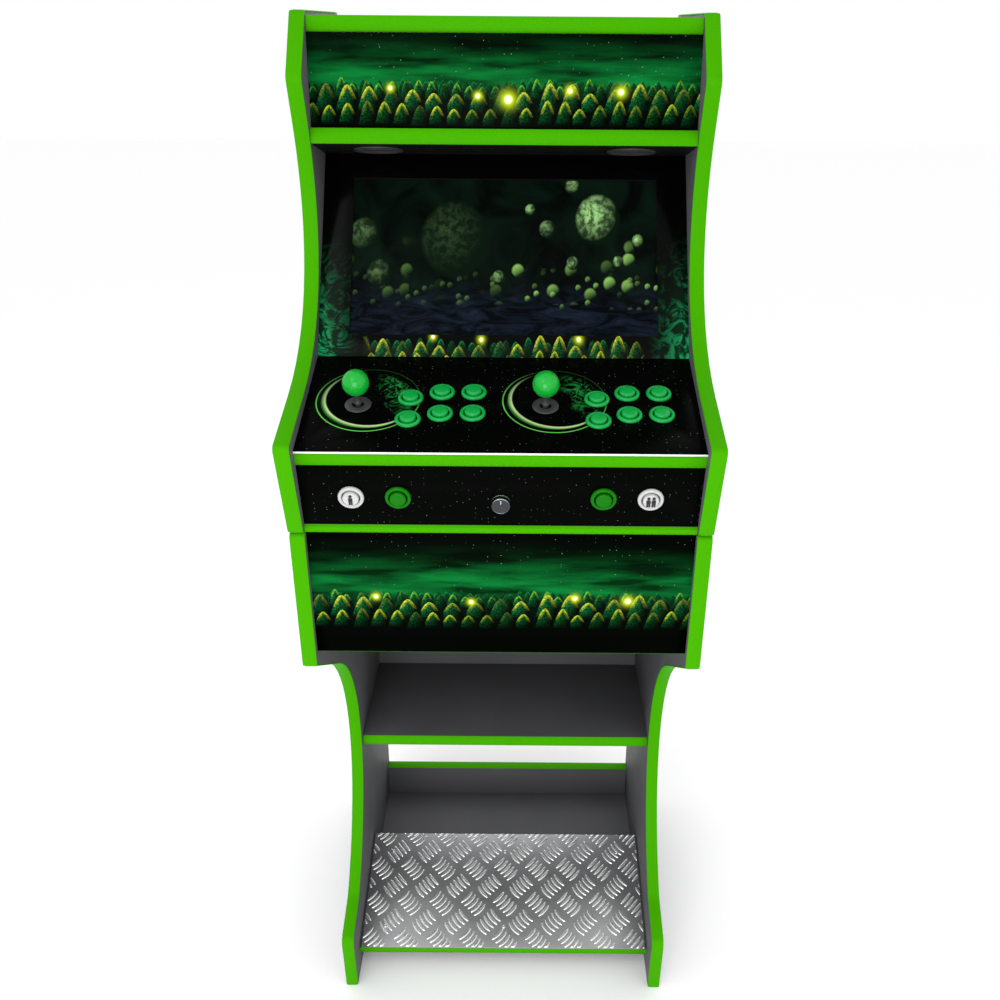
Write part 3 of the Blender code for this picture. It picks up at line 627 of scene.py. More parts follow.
# %% Control panel print
SLOPE = math.radians(17.4)
STICK_UP = 98  # mm up the slope from the front edge to a stick
RING_ASIDE = 12  # mm from a stick to its ring's middle, both across and up
panel_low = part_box("control_panel_cover")[0]
STICKS = {player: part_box(f"joystick_{player}_dust_washer") for player in ("p1", "p2")}
PANEL_PRINT, tree, shader = finish("control_panel_print", Roughness=0.25,
                                   Specular_IOR_Level=0.01)
vector, x, y, z = in_mm(tree)
front = add(tree, "Math", {0: y, 1: panel_low.y / MM}, operation="SUBTRACT")
up = add(tree, "Math", {0: front, 1: math.cos(SLOPE)}, operation="DIVIDE")
flat = add(tree, "CombineXYZ", {0: x, 1: up})
colour = add(tree, "MixRGB", {0: star_field(tree, x, up, 8.0, 0.4), 1: "#030403", 2: "#E8F4EE"})
wisps = add(tree, "TexNoise", {"Vector": flat, "Scale": 1 / 14, "Detail": 5.0,
                               "Roughness": 0.6, "Distortion": 2.0}, out=0)
wisp = add(tree, "MapRange", {0: wisps, 1: 0.47, 2: 0.62, 3: 0.0, 4: 1.0})
for player, (low, high) in STICKS.items():
    middle = ((low.x + high.x) / 2 / MM + RING_ASIDE, STICK_UP + RING_ASIDE)
    arm = add(tree, "VectorMath", {0: flat, 1: (*middle, 0.0)}, operation="SUBTRACT")
    toward = add(tree, "VectorMath", {0: arm}, operation="NORMALIZE")
    lower_left = add(tree, "VectorMath", {0: toward, 1: (-0.35, -0.94, 0.0)}, out="Value",
                     operation="DOT_PRODUCT")
    bright = add(tree, "MapRange", {0: lower_left, 1: -0.75, 2: 0.75, 3: 0.06, 4: 1.0})
    circle = band(tree, reach(tree, flat, middle), 66.8, 69.0, 0.7)
    thin = add(tree, "Math", {0: circle, 1: bright}, operation="MULTIPLY")
    colour = add(tree, "MixRGB", {0: thin, 1: colour, 2: "#5FC84E"})
    hole = reach(tree, flat, middle, (4.5, 5.0))
    outside = add(tree, "MapRange", {0: hole, 1: 60.0, 2: 61.5, 3: 0.0, 4: 1.0})
    disc = reach(tree, flat, middle, (0.5, 1.0))
    within = add(tree, "MapRange", {0: disc, 1: 61.5, 2: 63.0, 3: 1.0, 4: 0.0})
    crescent = add(tree, "Math", {0: outside, 1: within}, operation="MULTIPLY")
    crescent = add(tree, "Math", {0: crescent, 1: bright}, operation="MULTIPLY")
    edge = add(tree, "MapRange", {0: hole, 1: 61.0, 2: 66.0, 3: 1.0, 4: 0.0})
    tint = add(tree, "MixRGB", {0: edge, 1: "#1E6A1C", 2: "#C9E8A0"})
    colour = add(tree, "MixRGB", {0: crescent, 1: colour, 2: tint})
    inside = band(tree, reach(tree, flat, middle), 22.0, 62.0, 6.0)
    right = add(tree, "VectorMath", {0: toward, 1: (0.94, 0.34, 0.0)}, out="Value",
                operation="DOT_PRODUCT")
    side = add(tree, "MapRange", {0: right, 1: 0.45, 2: 0.9, 3: 0.0, 4: 1.0})
    plume = add(tree, "Math", {0: inside, 1: side}, operation="MULTIPLY")
    plume = add(tree, "Math", {0: plume, 1: wisp}, operation="MULTIPLY")
    colour = add(tree, "MixRGB", {0: plume, 1: colour, 2: "#1C7A34"})
fill(tree, shader, {"Base Color": colour})
print("control panel print:", len(tree.nodes), "nodes")

# %% [markdown]
# The panel below the controls is a printed board. It carries the same small stars and nothing
# else, so that the buttons and the knob stand out on it.

# %% Front panel print
FRONT_PRINT, tree, shader = finish("front_panel_print", Roughness=0.3,
                                   Specular_IOR_Level=0.01)
vector, x, y, z = in_mm(tree)
stars = star_field(tree, x, z, 8.0, 0.4)
fill(tree, shader, {"Base Color": add(tree, "MixRGB", {0: stars, 1: "#030403", 2: "#E8F4EE"})})
print("front panel print:", FRONT_PRINT.name)

# %% [markdown]
# ### Plastics and metals
# The play buttons and the ball tops are injection-moulded ABS. A mould polished to a mirror
# gives its gloss, and a little light goes into the ball and comes out green. Each plastic has a
# darker and a lighter colour of one hue, which the flow pattern mixes.

# %% Plastic finishes
def moulded_plastic(name, dark, light, gloss, **more):
    """ABS from a polished mould: even colour, a faint flow pattern and a soft orange peel."""
    made, tree, shader = finish(name, **more)
    vector, x, y, z = in_mm(tree)
    flow = mottle(tree, shader, vector, 9.0, gloss, gloss + 0.08, 0.02)
    fill(tree, shader, {"Base Color": add(tree, "MixRGB", {0: flow, 1: dark, 2: light})})
    return made


PLAY_GREEN = moulded_plastic("green_abs", "#05923C", "#08A044", 0.24, Specular_IOR_Level=0.35)
BALL_GREEN = moulded_plastic("translucent_green_abs", "#0A9A2E", "#14A838", 0.16,
                             Specular_IOR_Level=0.3, Subsurface_Weight=0.25,
                             Subsurface_Radius=(0.002, 0.006, 0.002))
COIN_GREEN = moulded_plastic("leaf_green_abs", "#086600", "#0C7000", 0.28, Specular_IOR_Level=0.1)
START_WHITE = moulded_plastic("white_abs", "#B2B2B2", "#BEBEBE", 0.28, Specular_IOR_Level=0.3)
DARK_ABS = moulded_plastic("charcoal_abs", "#1A1A1C", "#2A2A2D", 0.42)
# Black vinyl for the printed sheets. It is also used as painted shade on the speaker board's
# underside.
BLACK_VINYL_AND_SHADE = moulded_plastic("black_vinyl_and_painted_shade", "#0C0C0D", "#141415", 0.45, Specular_IOR_Level=0.2)
BLACK_INK = moulded_plastic("black_pad_print", "#050505", "#0A0A0A", 0.5)
GREY_ABS = moulded_plastic("grey_abs", "#2C2C2E", "#3A3A3C", 0.4)
# The cover's clear edge is painted near white: a painted highlight, not the acrylic's colour.
COVER_EDGE_HIGHLIGHT = moulded_plastic("acrylic_edge_painted_highlight", "#D8DCDA", "#F4F6F5", 0.15)
LAMP_WHITE = moulded_plastic("white_lamp_batten", "#D0D0CC", "#E0E0DC", 0.4)
print("plastics:", GREY_ABS.name, "and nine more")

# %% [markdown]
# The tread plate is mill-finish aluminium, rolled between an engraved and a plain roller, so its
# grain runs one way and it is dull. Its bars are painted near white all over: partly the rub of
# shoes on their tops, and partly a painted highlight for the light that they catch. One noise that
# is stretched along the roll gives the grain, and a second, broad one gives the cloudy dullness.

# %% Aluminium finishes
TREAD, tree, shader = finish("rolled_aluminium_tread", Metallic=0.9)
vector, x, y, z = in_mm(tree)
drawn = add(tree, "VectorMath", {0: vector, 1: (0.05, 1.0, 1.0)}, operation="MULTIPLY")
grain = mottle(tree, shader, drawn, 1.4, 0.34, 0.50, 0.03)
cloud = add(tree, "TexNoise", {"Vector": vector, "Scale": 1 / 60, "Detail": 3.0}, out=0)
tone = add(tree, "MixRGB", {0: cloud, 1: "#88888A", 2: "#D0D0D2"})
fill(tree, shader, {"Base Color": add(tree, "MixRGB", {0: grain, 1: tone, 2: "#B4B4B6"})})

TREAD_BAR_RUB_AND_HIGHLIGHT, tree, shader = finish("rubbed_and_highlit_aluminium_bar", Metallic=0.8)
vector, x, y, z = in_mm(tree)
grain = mottle(tree, shader, vector, 1.4, 0.20, 0.34, 0.02)
# Near white all over: real rub on the bar tops, and a painted highlight on the rest of each bar.
fill(tree, shader, {"Base Color": add(tree, "MixRGB", {0: grain, 1: "#F0F0F2", 2: "#FFFFFF"})})
print("aluminium finishes:", TREAD.name, TREAD_BAR_RUB_AND_HIGHLIGHT.name)

# %% [markdown]
# The knob is turned brass under chrome, with a brushed face whose strokes are a noise squeezed
# to thin lines. The speakers' mesh is punched steel painted black: a regular cell pattern, with
# one dark hole to a cell of 2.2 mm.

# %% Knob and speaker finishes
CHROME, tree, shader = finish("chromed_brass", Metallic=1.0)
vector, x, y, z = in_mm(tree)
mottle(tree, shader, vector, 4.0, 0.05, 0.14, 0.005)
fill(tree, shader, {"Base Color": "#D8DADC"})

BRUSHED, tree, shader = finish("brushed_steel_face", Metallic=1.0)
vector, x, y, z = in_mm(tree)
strokes = add(tree, "VectorMath", {0: vector, 1: (0.15, 4.0, 4.0)}, operation="MULTIPLY")
grain = mottle(tree, shader, strokes, 1.2, 0.25, 0.45, 0.02)
fill(tree, shader, {"Base Color": add(tree, "MixRGB", {0: grain, 1: "#222325", 2: "#525457"})})

GRILLE, tree, shader = finish("black_painted_mesh", Metallic=0.3)
vector, x, y, z = in_mm(tree)
flat = add(tree, "CombineXYZ", {0: x, 1: y})
hole = add(tree, "TexVoronoi", {"Vector": flat, "Scale": 1 / 2.2, "Randomness": 0.0}, out=0,
           voronoi_dimensions="2D")
open_part = add(tree, "MapRange", {0: hole, 1: 0.28, 2: 0.34, 3: 1.0, 4: 0.0})
fill(tree, shader, {"Base Color": add(tree, "MixRGB", {0: open_part, 1: "#5A5A5C",
                                                       2: "#141414"}),
                    "Roughness": add(tree, "MapRange", {0: open_part, 3: 0.4, 4: 0.9})})
print("finishes made:", len(bpy.data.materials))

# %% [markdown]
# ## Boards and edge moulding
#
# The solid boards have the right shape, but their edges are knife-sharp and their moulding has
# the same finish as the board. Each one is copied, its loose triangles are merged and the flat
# ones dissolved, the faces of the crowned edge get the moulding's finish, and every edge is
# eased by half a millimetre, because a real board's edge is never sharper than that.


# %% Copying a solid board
def copy_solid(node, look, flatten=True):
    """A clean copy of a solid piece, merged, with its flat faces whole if asked."""
    only(nodes[node])
    bpy.ops.object.duplicate()
    piece = bpy.context.active_object
    piece.name = node + "_finished"
    piece.parent = None
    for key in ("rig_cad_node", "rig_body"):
        del piece[key]
    piece.data.materials.clear()
    piece.data.materials.append(look)
    only(piece)
    bpy.ops.mesh.customdata_custom_splitnormals_clear()
    bpy.ops.object.mode_set(mode="EDIT")
    bpy.ops.mesh.select_all(action="SELECT")
    bpy.ops.mesh.remove_doubles(threshold=1e-5)
    if flatten:
        bpy.ops.mesh.dissolve_limited(angle_limit=math.radians(0.5))
    bpy.ops.object.mode_set(mode="OBJECT")
    return piece


def facing(*directions):
    """A test for faces that look within 50 degrees of one of these directions."""
    ways = [Vector(way).normalized() for way in directions]
    return lambda centre, normal: any(normal.dot(way) > 0.64 for way in ways)


# %% [markdown]
# The moulding shows on the edges that face the player. The front panel of the stand hangs with
# its moulding downwards, so only the moulding's front shoulder is seen: the copy is cut just
# above it with a bisect, and what lies below the cut is green.

# %% Boards
FORWARD, BACKWARD, UPWARD, DOWNWARD = (0, -1, 0), (0, 1, 0), (0, 0, 1), (0, 0, -1)
EDGED = {"roof_board": [FORWARD], "speaker_board": [FORWARD], "head_floor": [FORWARD],
         "shelf": [FORWARD], "foot_board": [FORWARD, BACKWARD], "rear_beam": [UPWARD],
         "control_panel": [FORWARD], "stand_front_panel": [DOWNWARD]}
SHOULDER = 2.4 * MM
BOARD_EDGE, SIDE_EDGE, SHEET_EDGE = 0.5 * MM, 0.4 * MM, 0.25 * MM
for node, edges in EDGED.items():
    board = copy_solid(node, BOARD)
    if node == "stand_front_panel":
        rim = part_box(node)[0].z + SHOULDER
        bpy.ops.object.mode_set(mode="EDIT")
        bpy.ops.mesh.select_all(action="SELECT")
        bpy.ops.mesh.bisect(plane_co=(0, 0, rim), plane_no=(0, 0, 1))
        bpy.ops.object.mode_set(mode="OBJECT")
        paint_faces(board, STAND_PRINT, lambda c, n: n.y < -0.9 and c.z > rim)
        paint_faces(board, MOULDING, lambda c, n: c.z < rim)
    count = paint_faces(board, MOULDING, facing(*edges))
    if node == "speaker_board":
        # Painted shade: the board's downward face under the sign is painted near black.
        paint_faces(board, BLACK_VINYL_AND_SHADE, facing(DOWNWARD))
    round_edges(board, BOARD_EDGE)
    settle(board, "cabinet", "laminate", node)
    print(node, "moulded faces:", count)

# %% [markdown]
# The four side panels get the same care. Their moulding is a ring of narrow bands round a curved
# outline, and its flat sides are hollow in places. Dissolving would fill those, so its bands
# stay as they are, and only its shading is smoothed across the crown.

# %% Sides
for unit in ("head", "stand"):
    for side in ("left", "right"):
        board = copy_solid(f"{unit}_side_{side}", BOARD)
        settle(round_edges(board, SIDE_EDGE), "cabinet", "laminate", f"{unit}_side_{side}")
        trim = copy_solid(f"{unit}_edge_trim_{side}", MOULDING, flatten=False)
        bpy.ops.object.shade_smooth_by_angle(angle=SMOOTH_UNDER)
        settle(trim, "cabinet", "trim", f"{unit}_edge_trim_{side}")
        print(trim.name, "bands:", len(trim.data.polygons))

# %% [markdown]
# ## Printed panels
#
# Each printed panel is a copy too, with its picture on the face that the player sees. The
# control panel's clear cover has its front edge painted near white: a painted highlight for the
# light that its polished edge catches.

# %% Panels
PRINTED = {"sign_panel": (SIGN_PRINT, FORWARD, "printed_acrylic"),
           "screen_surround": (SURROUND_PRINT, (0, -0.84, 0.54), "printed_acrylic"),
           "control_panel_cover": (PANEL_PRINT, (0, -0.3, 0.95), "clear_cover"),
           "front_button_panel": (FRONT_PRINT, (0, -0.97, -0.22), "printed_board")}
for node, (look, way, slot) in PRINTED.items():
    panel = copy_solid(node, BLACK_VINYL_AND_SHADE)
    paint_faces(panel, look, facing(way))
    if slot == "clear_cover":
        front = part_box(node)[0].y + 2 * MM
        # Painted highlight: the cover's front edge is painted near white.
        paint_faces(panel, COVER_EDGE_HIGHLIGHT, lambda c, n: n.y < -0.8 and c.y < front)
    round_edges(panel, SHEET_EDGE, 2, 60)
    settle(panel, "cabinet", slot, node)

screen = copy_solid("monitor", DARK_ABS)
paint_faces(screen, SCREEN, facing((0, -0.84, 0.54)))
settle(round_edges(screen, 0.8 * MM), "cabinet", "monitor", "monitor")
print("printed panels:", list(PRINTED))

# %% [markdown]
# ## Round parts
#
# Buttons, joysticks, knob and screws are all turned shapes. Each starts as a filled circle at
# its foot. Its top face is extruded and resized again and again, up and in or out, like
# throwing a pot, and the finished shape is then stood on its own axis on the panel.


# %% Turning a shape
def turn(name, sections, look, steps=48, ring=False):
    """A closed round piece on the Z axis from (radius, height) pairs in millimetres.

    A ring's sections go round its hole and come back to the first one.
    """
    radius, height = sections[0]
    bpy.ops.object.select_all(action="DESELECT")
    bpy.ops.mesh.primitive_circle_add(vertices=steps, radius=radius * MM,
                                      fill_type="NOTHING" if ring else "NGON",
                                      location=(0, 0, height * MM))
    piece = bpy.context.active_object
    piece.name = name
    bpy.ops.object.transform_apply(location=True, rotation=True, scale=True)
    bpy.ops.object.mode_set(mode="EDIT")
    bpy.ops.mesh.select_mode(type="VERT")
    bpy.ops.mesh.select_all(action="SELECT")
    for wider, higher in sections[1:]:
        rise = (0, 0, (higher - height) * MM)
        bpy.ops.mesh.extrude_region_move(TRANSFORM_OT_translate={"value": rise})
        bpy.ops.transform.resize(value=(wider / radius, wider / radius, 1),
                                 center_override=(0, 0, higher * MM))
        radius, height = wider, higher
    bpy.ops.mesh.select_all(action="SELECT")
    bpy.ops.mesh.remove_doubles(threshold=1e-6)
    bpy.ops.mesh.normals_make_consistent(inside=False)
    bpy.ops.object.mode_set(mode="OBJECT")
    bpy.ops.object.shade_smooth_by_angle(angle=math.radians(40))
    piece.data.materials.append(look)
    return piece


# %% [markdown]
# A turned piece is made upright at the origin. The place to stand it comes from the solid that
# it stands for: the points of that solid's foot give its axis. The place is stored in the
# mesh, so that every finished piece has its origin in the same corner of the room.


# %% Placing round pieces
def stand_at(piece, place):
    """Moves a piece to its place on the cabinet, and stores the place in its mesh."""
    only(piece)
    piece.matrix_world = place
    bpy.ops.object.transform_apply(location=True, rotation=True, scale=True)
    return piece


def copy_to(master, name, place, look=None):
    """A copy of a piece with its own mesh, stood at its place."""
    only(master)
    bpy.ops.object.duplicate()
    piece = bpy.context.active_object
    piece.name = name
    if look:
        piece.data.materials[0] = look
    return stand_at(piece, place)


def dome(radius, height, rise, steps):
    """Sections of a shallow round cap from its rim at this height to its top."""
    return [(max(radius * math.cos(i / steps * math.pi / 2), 0.05),
             height + rise * math.sin(i / steps * math.pi / 2)) for i in range(1, steps + 1)]


def axis_place(node, way, foot):
    """A frame on a round node's axis. Its Z axis points way, and the node starts at foot mm."""
    way = Vector(way).normalized()
    corners = [v.co for v in nodes[node].data.vertices]
    lowest = min(c.dot(way) for c in corners)
    ends = {tuple(round(v, 5) for v in c) for c in corners if c.dot(way) < lowest + 1e-5}
    middle = sum((Vector(c) for c in ends), Vector()) / len(ends)
    slope = Matrix.Rotation(math.atan2(-way.y, way.z), 4, "X")
    return Matrix.Translation(middle - way * foot * MM) @ slope


# %% [markdown]
# ### Push buttons
# A push button is a threaded body with a thick rounded rim, and a domed plunger that drops
# three millimetres into it. A groove a little over a millimetre wide runs round the plunger and
# makes a dark ring. Heights are in millimetres over the panel.

# %% Buttons
OUTWARD = {joint["child"]: -Vector(joint["axis"]) for joint in frame["joints"]}
RIM = ([(13.6, -33.0), (13.6, 0.3), (16.3, 0.3), (16.8, 0.8), (16.8, 1.9), (16.55, 2.9),
        (15.9, 3.75), (14.9, 4.3), (13.7, 4.4), (12.7, 4.0), (12.1, 3.2), (11.9, 2.2),
        (11.8, 1.0), (11.7, -17.0)])
BUTTON_FOOT = -13.5
PLUNGER = ([(10.4, BUTTON_FOOT), (10.4, 5.0), (10.3, 5.8), (9.9, 6.4), (9.3, 6.75), (8.6, 6.9)]
           + dome(8.6, 6.9, 0.5, 6))
rim = turn("button_rim", RIM, PLAY_GREEN)
plunger = turn("button_plunger", PLUNGER, PLAY_GREEN)
buttons = [name for name in OUTWARD if name.startswith("button")]
for node in buttons:
    group = node.split("_")[1]
    place = axis_place(node, OUTWARD[node], BUTTON_FOOT)
    look = {"coin": COIN_GREEN, "start": START_WHITE}.get(group, PLAY_GREEN)
    bodies = f"button_bodies_{group}" if group in STICKS else "button_bodies_front"
    slot = {"coin": "front_button_plastic", "start": "front_button_plastic"}.get(
        group, "green_plastic")
    made = copy_to(rim, node + "_rim", place, look)
    settle(made, "cabinet", slot, bodies)
    made = copy_to(plunger, node + "_plunger", place, look)
    settle(made, node, "white_plastic" if group == "start" else "green_plastic", node)
for master in (rim, plunger):
    bpy.data.objects.remove(master)
print("buttons:", len(buttons))

# %% [markdown]
# The white buttons are printed with small people: one for a single player, two for a pair. Each
# little sign is a round head over a body and two legs. All are flat slabs of ink that reach
# just above the dome.


# %% Player signs
def little_person(name, shift):
    """A pictogram of a person, 15 mm tall, whose ink stands a little proud of the dome."""
    bpy.ops.object.select_all(action="DESELECT")
    bpy.ops.mesh.primitive_circle_add(vertices=20, radius=2.2 * MM, fill_type="NGON",
                                      location=(shift * MM, 5.5 * MM, 0))
    parts = [bpy.context.active_object]
    for width, height, across, up in ((5.6, 5.8, 0, 0.1), (2.4, 5.6, -1.35, -4.9),
                                      (2.4, 5.6, 1.35, -4.9)):
        bpy.ops.mesh.primitive_plane_add(size=1, location=((shift + across) * MM, up * MM, 0))
        bpy.context.active_object.scale = (width * MM, height * MM, 1)
        parts.append(bpy.context.active_object)
    for index, part in enumerate(parts):
        only(part)
        bpy.ops.object.transform_apply(location=True, rotation=True, scale=True)
        bpy.ops.object.mode_set(mode="EDIT")
        bpy.ops.mesh.select_all(action="SELECT")
        thick = (0, 0, (0.55 + 0.01 * index) * MM)
        bpy.ops.mesh.extrude_region_move(TRANSFORM_OT_translate={"value": thick})
        bpy.ops.mesh.select_all(action="SELECT")
        bpy.ops.mesh.normals_make_consistent(inside=False)
        bpy.ops.object.mode_set(mode="OBJECT")
    only(parts[0])
    for part in parts[1:]:
        part.select_set(True)
    bpy.ops.object.join()
    parts[0].name = name
    parts[0].data.materials.append(BLACK_INK)
    return parts[0]


SIGN_FOOT = 7.05 * MM
for node, shifts in (("button_start_p1", (0,)), ("button_start_p2", (-3.3, 3.3))):
    place = axis_place(node, OUTWARD[node], BUTTON_FOOT)
    for number, shift in enumerate(shifts, 1):
        sign = little_person(f"{node}_sign_{number}", shift)
        stand_at(sign, place @ Matrix.Translation((0, 0, SIGN_FOOT)))
        settle(sign, node, "dark_plastic")
        print(sign.name, "stands at", round(SIGN_FOOT / MM, 2), "mm")

# %% [markdown]
# ### Joysticks
# A ball top is screwed on a steel shaft inside a plastic sleeve. The sleeve passes through a
# dust washer and flares just above it, to keep dust out of the hole. The hole is wide enough for
# the shaft to lean into any corner. Below the panel the gimbal lets it lean any way.

# %% Joysticks
def ball(radius, centre, foot_radius, steps):
    """Sections of a ball from the circle that it is cut at, up to its top."""
    start = -math.acos(foot_radius / radius)
    return [(max(radius * math.cos(a), 0.05), centre + radius * math.sin(a))
            for a in (start + (math.pi / 2 - start) * i / steps for i in range(steps + 1))]


PANEL_UP = OUTWARD["button_p1_1"]
SHAFT = [(3.5, -50.0), (3.5, -4.0), (3.6, 3.2), (5.7, 4.6), (5.5, 5.4), (4.3, 8.5), (3.9, 12.0),
         (3.9, 17.0), (4.6, 18.4), (4.6, 20.5)]
WASHER = [(7.8, 0.3), (17.2, 0.3), (17.5, 0.55), (17.3, 1.0), (16.6, 1.4), (9.0, 1.5),
          (7.9, 1.4), (7.8, 0.3)]
for player in ("p1", "p2"):
    node = f"joystick_{player}_stick"
    washer = f"joystick_{player}_dust_washer"
    place = axis_place(washer, PANEL_UP, 0.3)
    shaft = turn(node + "_shaft", SHAFT, GREY_ABS, 32)
    settle(stand_at(shaft, place), node, "dark_plastic", node)
    knob = turn(node + "_ball", [(5.6, 18.4)] + ball(17.5, 35.0, 5.9, 22), BALL_GREEN, 56)
    settle(stand_at(knob, place), node, "green_plastic", node)
    disc = turn(washer + "_turned", WASHER, GREY_ABS, 56, ring=True)
    settle(stand_at(disc, place), "cabinet", "dark_plastic", washer)
print("joystick ball:", len(knob.data.polygons), "faces")

# %% [markdown]
# ### Volume knob
# The knob is turned from bar, with a brushed face, a chamfer and a finely knurled skirt. Every
# second strip of its side is pushed in a little to cut the knurl.

# %% Volume knob
FRONT_OUT = OUTWARD["button_coin_p1"]
KNOB_FOOT = -17.0
place = axis_place("volume_knob", FRONT_OUT, KNOB_FOOT)
KNOB = [(2.6, KNOB_FOOT), (2.6, 1.0), (12.4, 1.0), (12.8, 1.4), (12.8, 7.6), (11.6, 9.2),
        (10.9, 9.3), (10.7, 8.9), (9.9, 8.9)]
knob = turn("volume_knob_turned", KNOB, CHROME, 72)
pick_faces(knob, lambda c, n: abs(n.z) < 0.2 and math.hypot(c.x, c.y) > 12 * MM
           and int(math.degrees(math.atan2(c.y, c.x)) // 5) % 2 == 0)
bpy.ops.object.mode_set(mode="EDIT")
bpy.ops.mesh.inset(thickness=0.12 * MM, depth=-0.35 * MM, use_individual=True)
bpy.ops.object.mode_set(mode="OBJECT")
paint_faces(knob, BRUSHED, lambda c, n: n.z > 0.9 and c.z > 8.5 * MM)
settle(stand_at(knob, place), "volume_knob", "knob_metal", "volume_knob")
print("knob:", len(knob.data.polygons), "faces")

# %% [markdown]
# A short white line on the knob's face shows the setting. On the real one it is a groove filled
# with paint, and here it is a slim bar let into the face.

# %% The knob's mark
bpy.ops.object.select_all(action="DESELECT")
bpy.ops.mesh.primitive_cube_add(size=1, location=(0, 6.4 * MM, 8.95 * MM))
mark = bpy.context.active_object
mark.name = "volume_knob_mark"
mark.scale = (1.3 * MM, 5.4 * MM, 0.35 * MM)
bpy.ops.object.transform_apply(location=True, rotation=True, scale=True)
mark.data.materials.append(START_WHITE)
round_edges(mark, 0.12 * MM)
settle(stand_at(mark, place), "volume_knob", "white_plastic")
print("mark:", mark.name)

# %% [markdown]
# ### Speakers
# Two round speakers hang face down in the board under the sign. Each has a plastic ring that
# clamps a painted mesh disc, and the disc is pressed into two shallow steps.

# %% Speakers
SPEAKER_FOOT = -46.0
SPEAKER_FACE = (0, -math.sin(math.radians(12.7)), -math.cos(math.radians(12.7)))
RING = [(30.8, -6.0), (30.8, 0.3), (34.2, 0.3), (34.5, 0.8), (34.3, 1.6), (33.6, 2.1),
        (32.6, 2.2), (31.6, 1.9), (30.9, 1.2), (29.8, 0.2), (29.8, -6.0), (30.8, -6.0)]
MESH_DISC = [(15.0, SPEAKER_FOOT), (15.0, -34.0), (29.6, -24.0), (29.6, 0.0), (28.8, 0.7),
             (24.0, 0.9), (23.2, 0.3), (14.5, 0.5), (13.7, 1.1), (6.0, 1.4), (0.5, 1.5)]
for side in ("left", "right"):
    node = f"speaker_{side}"
    place = axis_place(node, SPEAKER_FACE, SPEAKER_FOOT)
    hoop = turn(node + "_ring", RING, GREY_ABS, 64, ring=True)
    settle(stand_at(hoop, place), "cabinet", "dark_plastic", node)
    disc = turn(node + "_mesh", MESH_DISC, GRILLE, 64)
    settle(stand_at(disc, place), "cabinet", "speaker_metal", node)
    print(node, "ring and mesh:", len(hoop.data.polygons), len(disc.data.polygons), "faces")

# %% [markdown]
# ## Tread plate
#
# The foot rest is clad in five-bar tread plate. A roller presses groups of five slim bars into
# the sheet, each group at right angles to its neighbours. One bar is a flat oval drawn up to a
# ridge, bent by moving its middle to one side. Five bars make a group, two array modifiers
# spread it over the plate, and the plate's edges are sawn with a bisect, as the real sheet's are.

# %% Where the plate lies
TREAD_TILT = math.radians(15)
TREAD_UP = Vector((0, -math.sin(TREAD_TILT), math.cos(TREAD_TILT)))
ALONG = Vector((0, math.cos(TREAD_TILT), math.sin(TREAD_TILT)))
tread_corners = [v.co for v in nodes["tread_plate"].data.vertices]
TREAD_TOP = max(c.dot(TREAD_UP) for c in tread_corners)
TREAD_FRONT = min(c.dot(ALONG) for c in tread_corners)
TREAD_BACK = max(c.dot(ALONG) for c in tread_corners)
TREAD_HALF = max(c.x for c in tread_corners)
on_tread = (Matrix.Translation(TREAD_UP * TREAD_TOP)
            @ Matrix.Rotation(TREAD_TILT, 4, "X"))
print("tread plate:", round(2 * TREAD_HALF, 3), "by", round(TREAD_BACK - TREAD_FRONT, 3), "m")

# %% [markdown]
# A bar is 31 mm long and 6 mm wide at its foot, and it bulges by 1.6 mm to one side, as a
# pressed bar does.


# %% One bar
BAR_HALF, BAR_WIDE, BAR_BULGE = 15.5 * MM, 3.1 * MM, 1.6 * MM


def raised_bar(lean, step, number):
    """One raised bar that leans by this angle, moved by some steps inside its group."""
    bpy.ops.object.select_all(action="DESELECT")
    bpy.ops.mesh.primitive_circle_add(vertices=14, radius=1.0, fill_type="NGON")
    bar = bpy.context.active_object
    bar.scale = (BAR_HALF, BAR_WIDE, 1)
    bar.location = (0, 0, -0.25 * MM)
    bpy.ops.object.transform_apply(location=True, rotation=True, scale=True)
    bpy.ops.object.mode_set(mode="EDIT")
    bpy.ops.mesh.select_all(action="SELECT")
    for rise, share in ((1.05, 0.82), (0.50, 0.55)):
        bpy.ops.mesh.extrude_region_move(TRANSFORM_OT_translate={"value": (0, 0, rise * MM)})
        bpy.ops.transform.resize(value=(0.5 + share / 2, share, 1), center_override=(0, 0, 0))
    bpy.ops.mesh.select_all(action="SELECT")
    bpy.ops.mesh.normals_make_consistent(inside=False)
    bpy.ops.object.mode_set(mode="OBJECT")
    for corner in bar.data.vertices:
        corner.co.y -= BAR_BULGE * (1 - (corner.co.x / BAR_HALF) ** 2)
    bpy.ops.object.shade_smooth_by_angle(angle=math.radians(60))
    bar.matrix_world = (Matrix.Translation(Vector(step) * number * MM)
                        @ Matrix.Rotation(math.radians(lean), 4, "Z"))
    bpy.ops.object.transform_apply(location=True, rotation=True, scale=True)
    return bar


# %% [markdown]
# Groups repeat 59 mm apart across the plate and 72 mm apart up it.


# %% Spreading a group
ACROSS, UP_PLATE = 59, 72


def spread(lean, step, start, columns, rows):
    """A group of five bars, repeated over the plate."""
    bars = [raised_bar(lean, step, number) for number in (-2, -1, 0, 1, 2)]
    only(bars[0])
    for bar in bars[1:]:
        bar.select_set(True)
    bpy.ops.object.join()
    group = bars[0]
    group.matrix_world = Matrix.Translation((start[0] * MM, start[1] * MM, 0))
    bpy.ops.object.transform_apply(location=True, rotation=True, scale=True)
    for count, offset in ((columns, (ACROSS * MM, 0, 0)), (rows, (0, UP_PLATE * MM, 0))):
        repeat = group.modifiers.new("repeat", "ARRAY")
        repeat.count = count
        repeat.use_relative_offset = False
        repeat.use_constant_offset = True
        repeat.constant_offset_displace = offset
        bpy.ops.object.modifier_apply(modifier=repeat.name)
    return group


# %% [markdown]
# Two patterns of groups interlock. They are joined and then sawn off just inside the sheet's
# four edges.

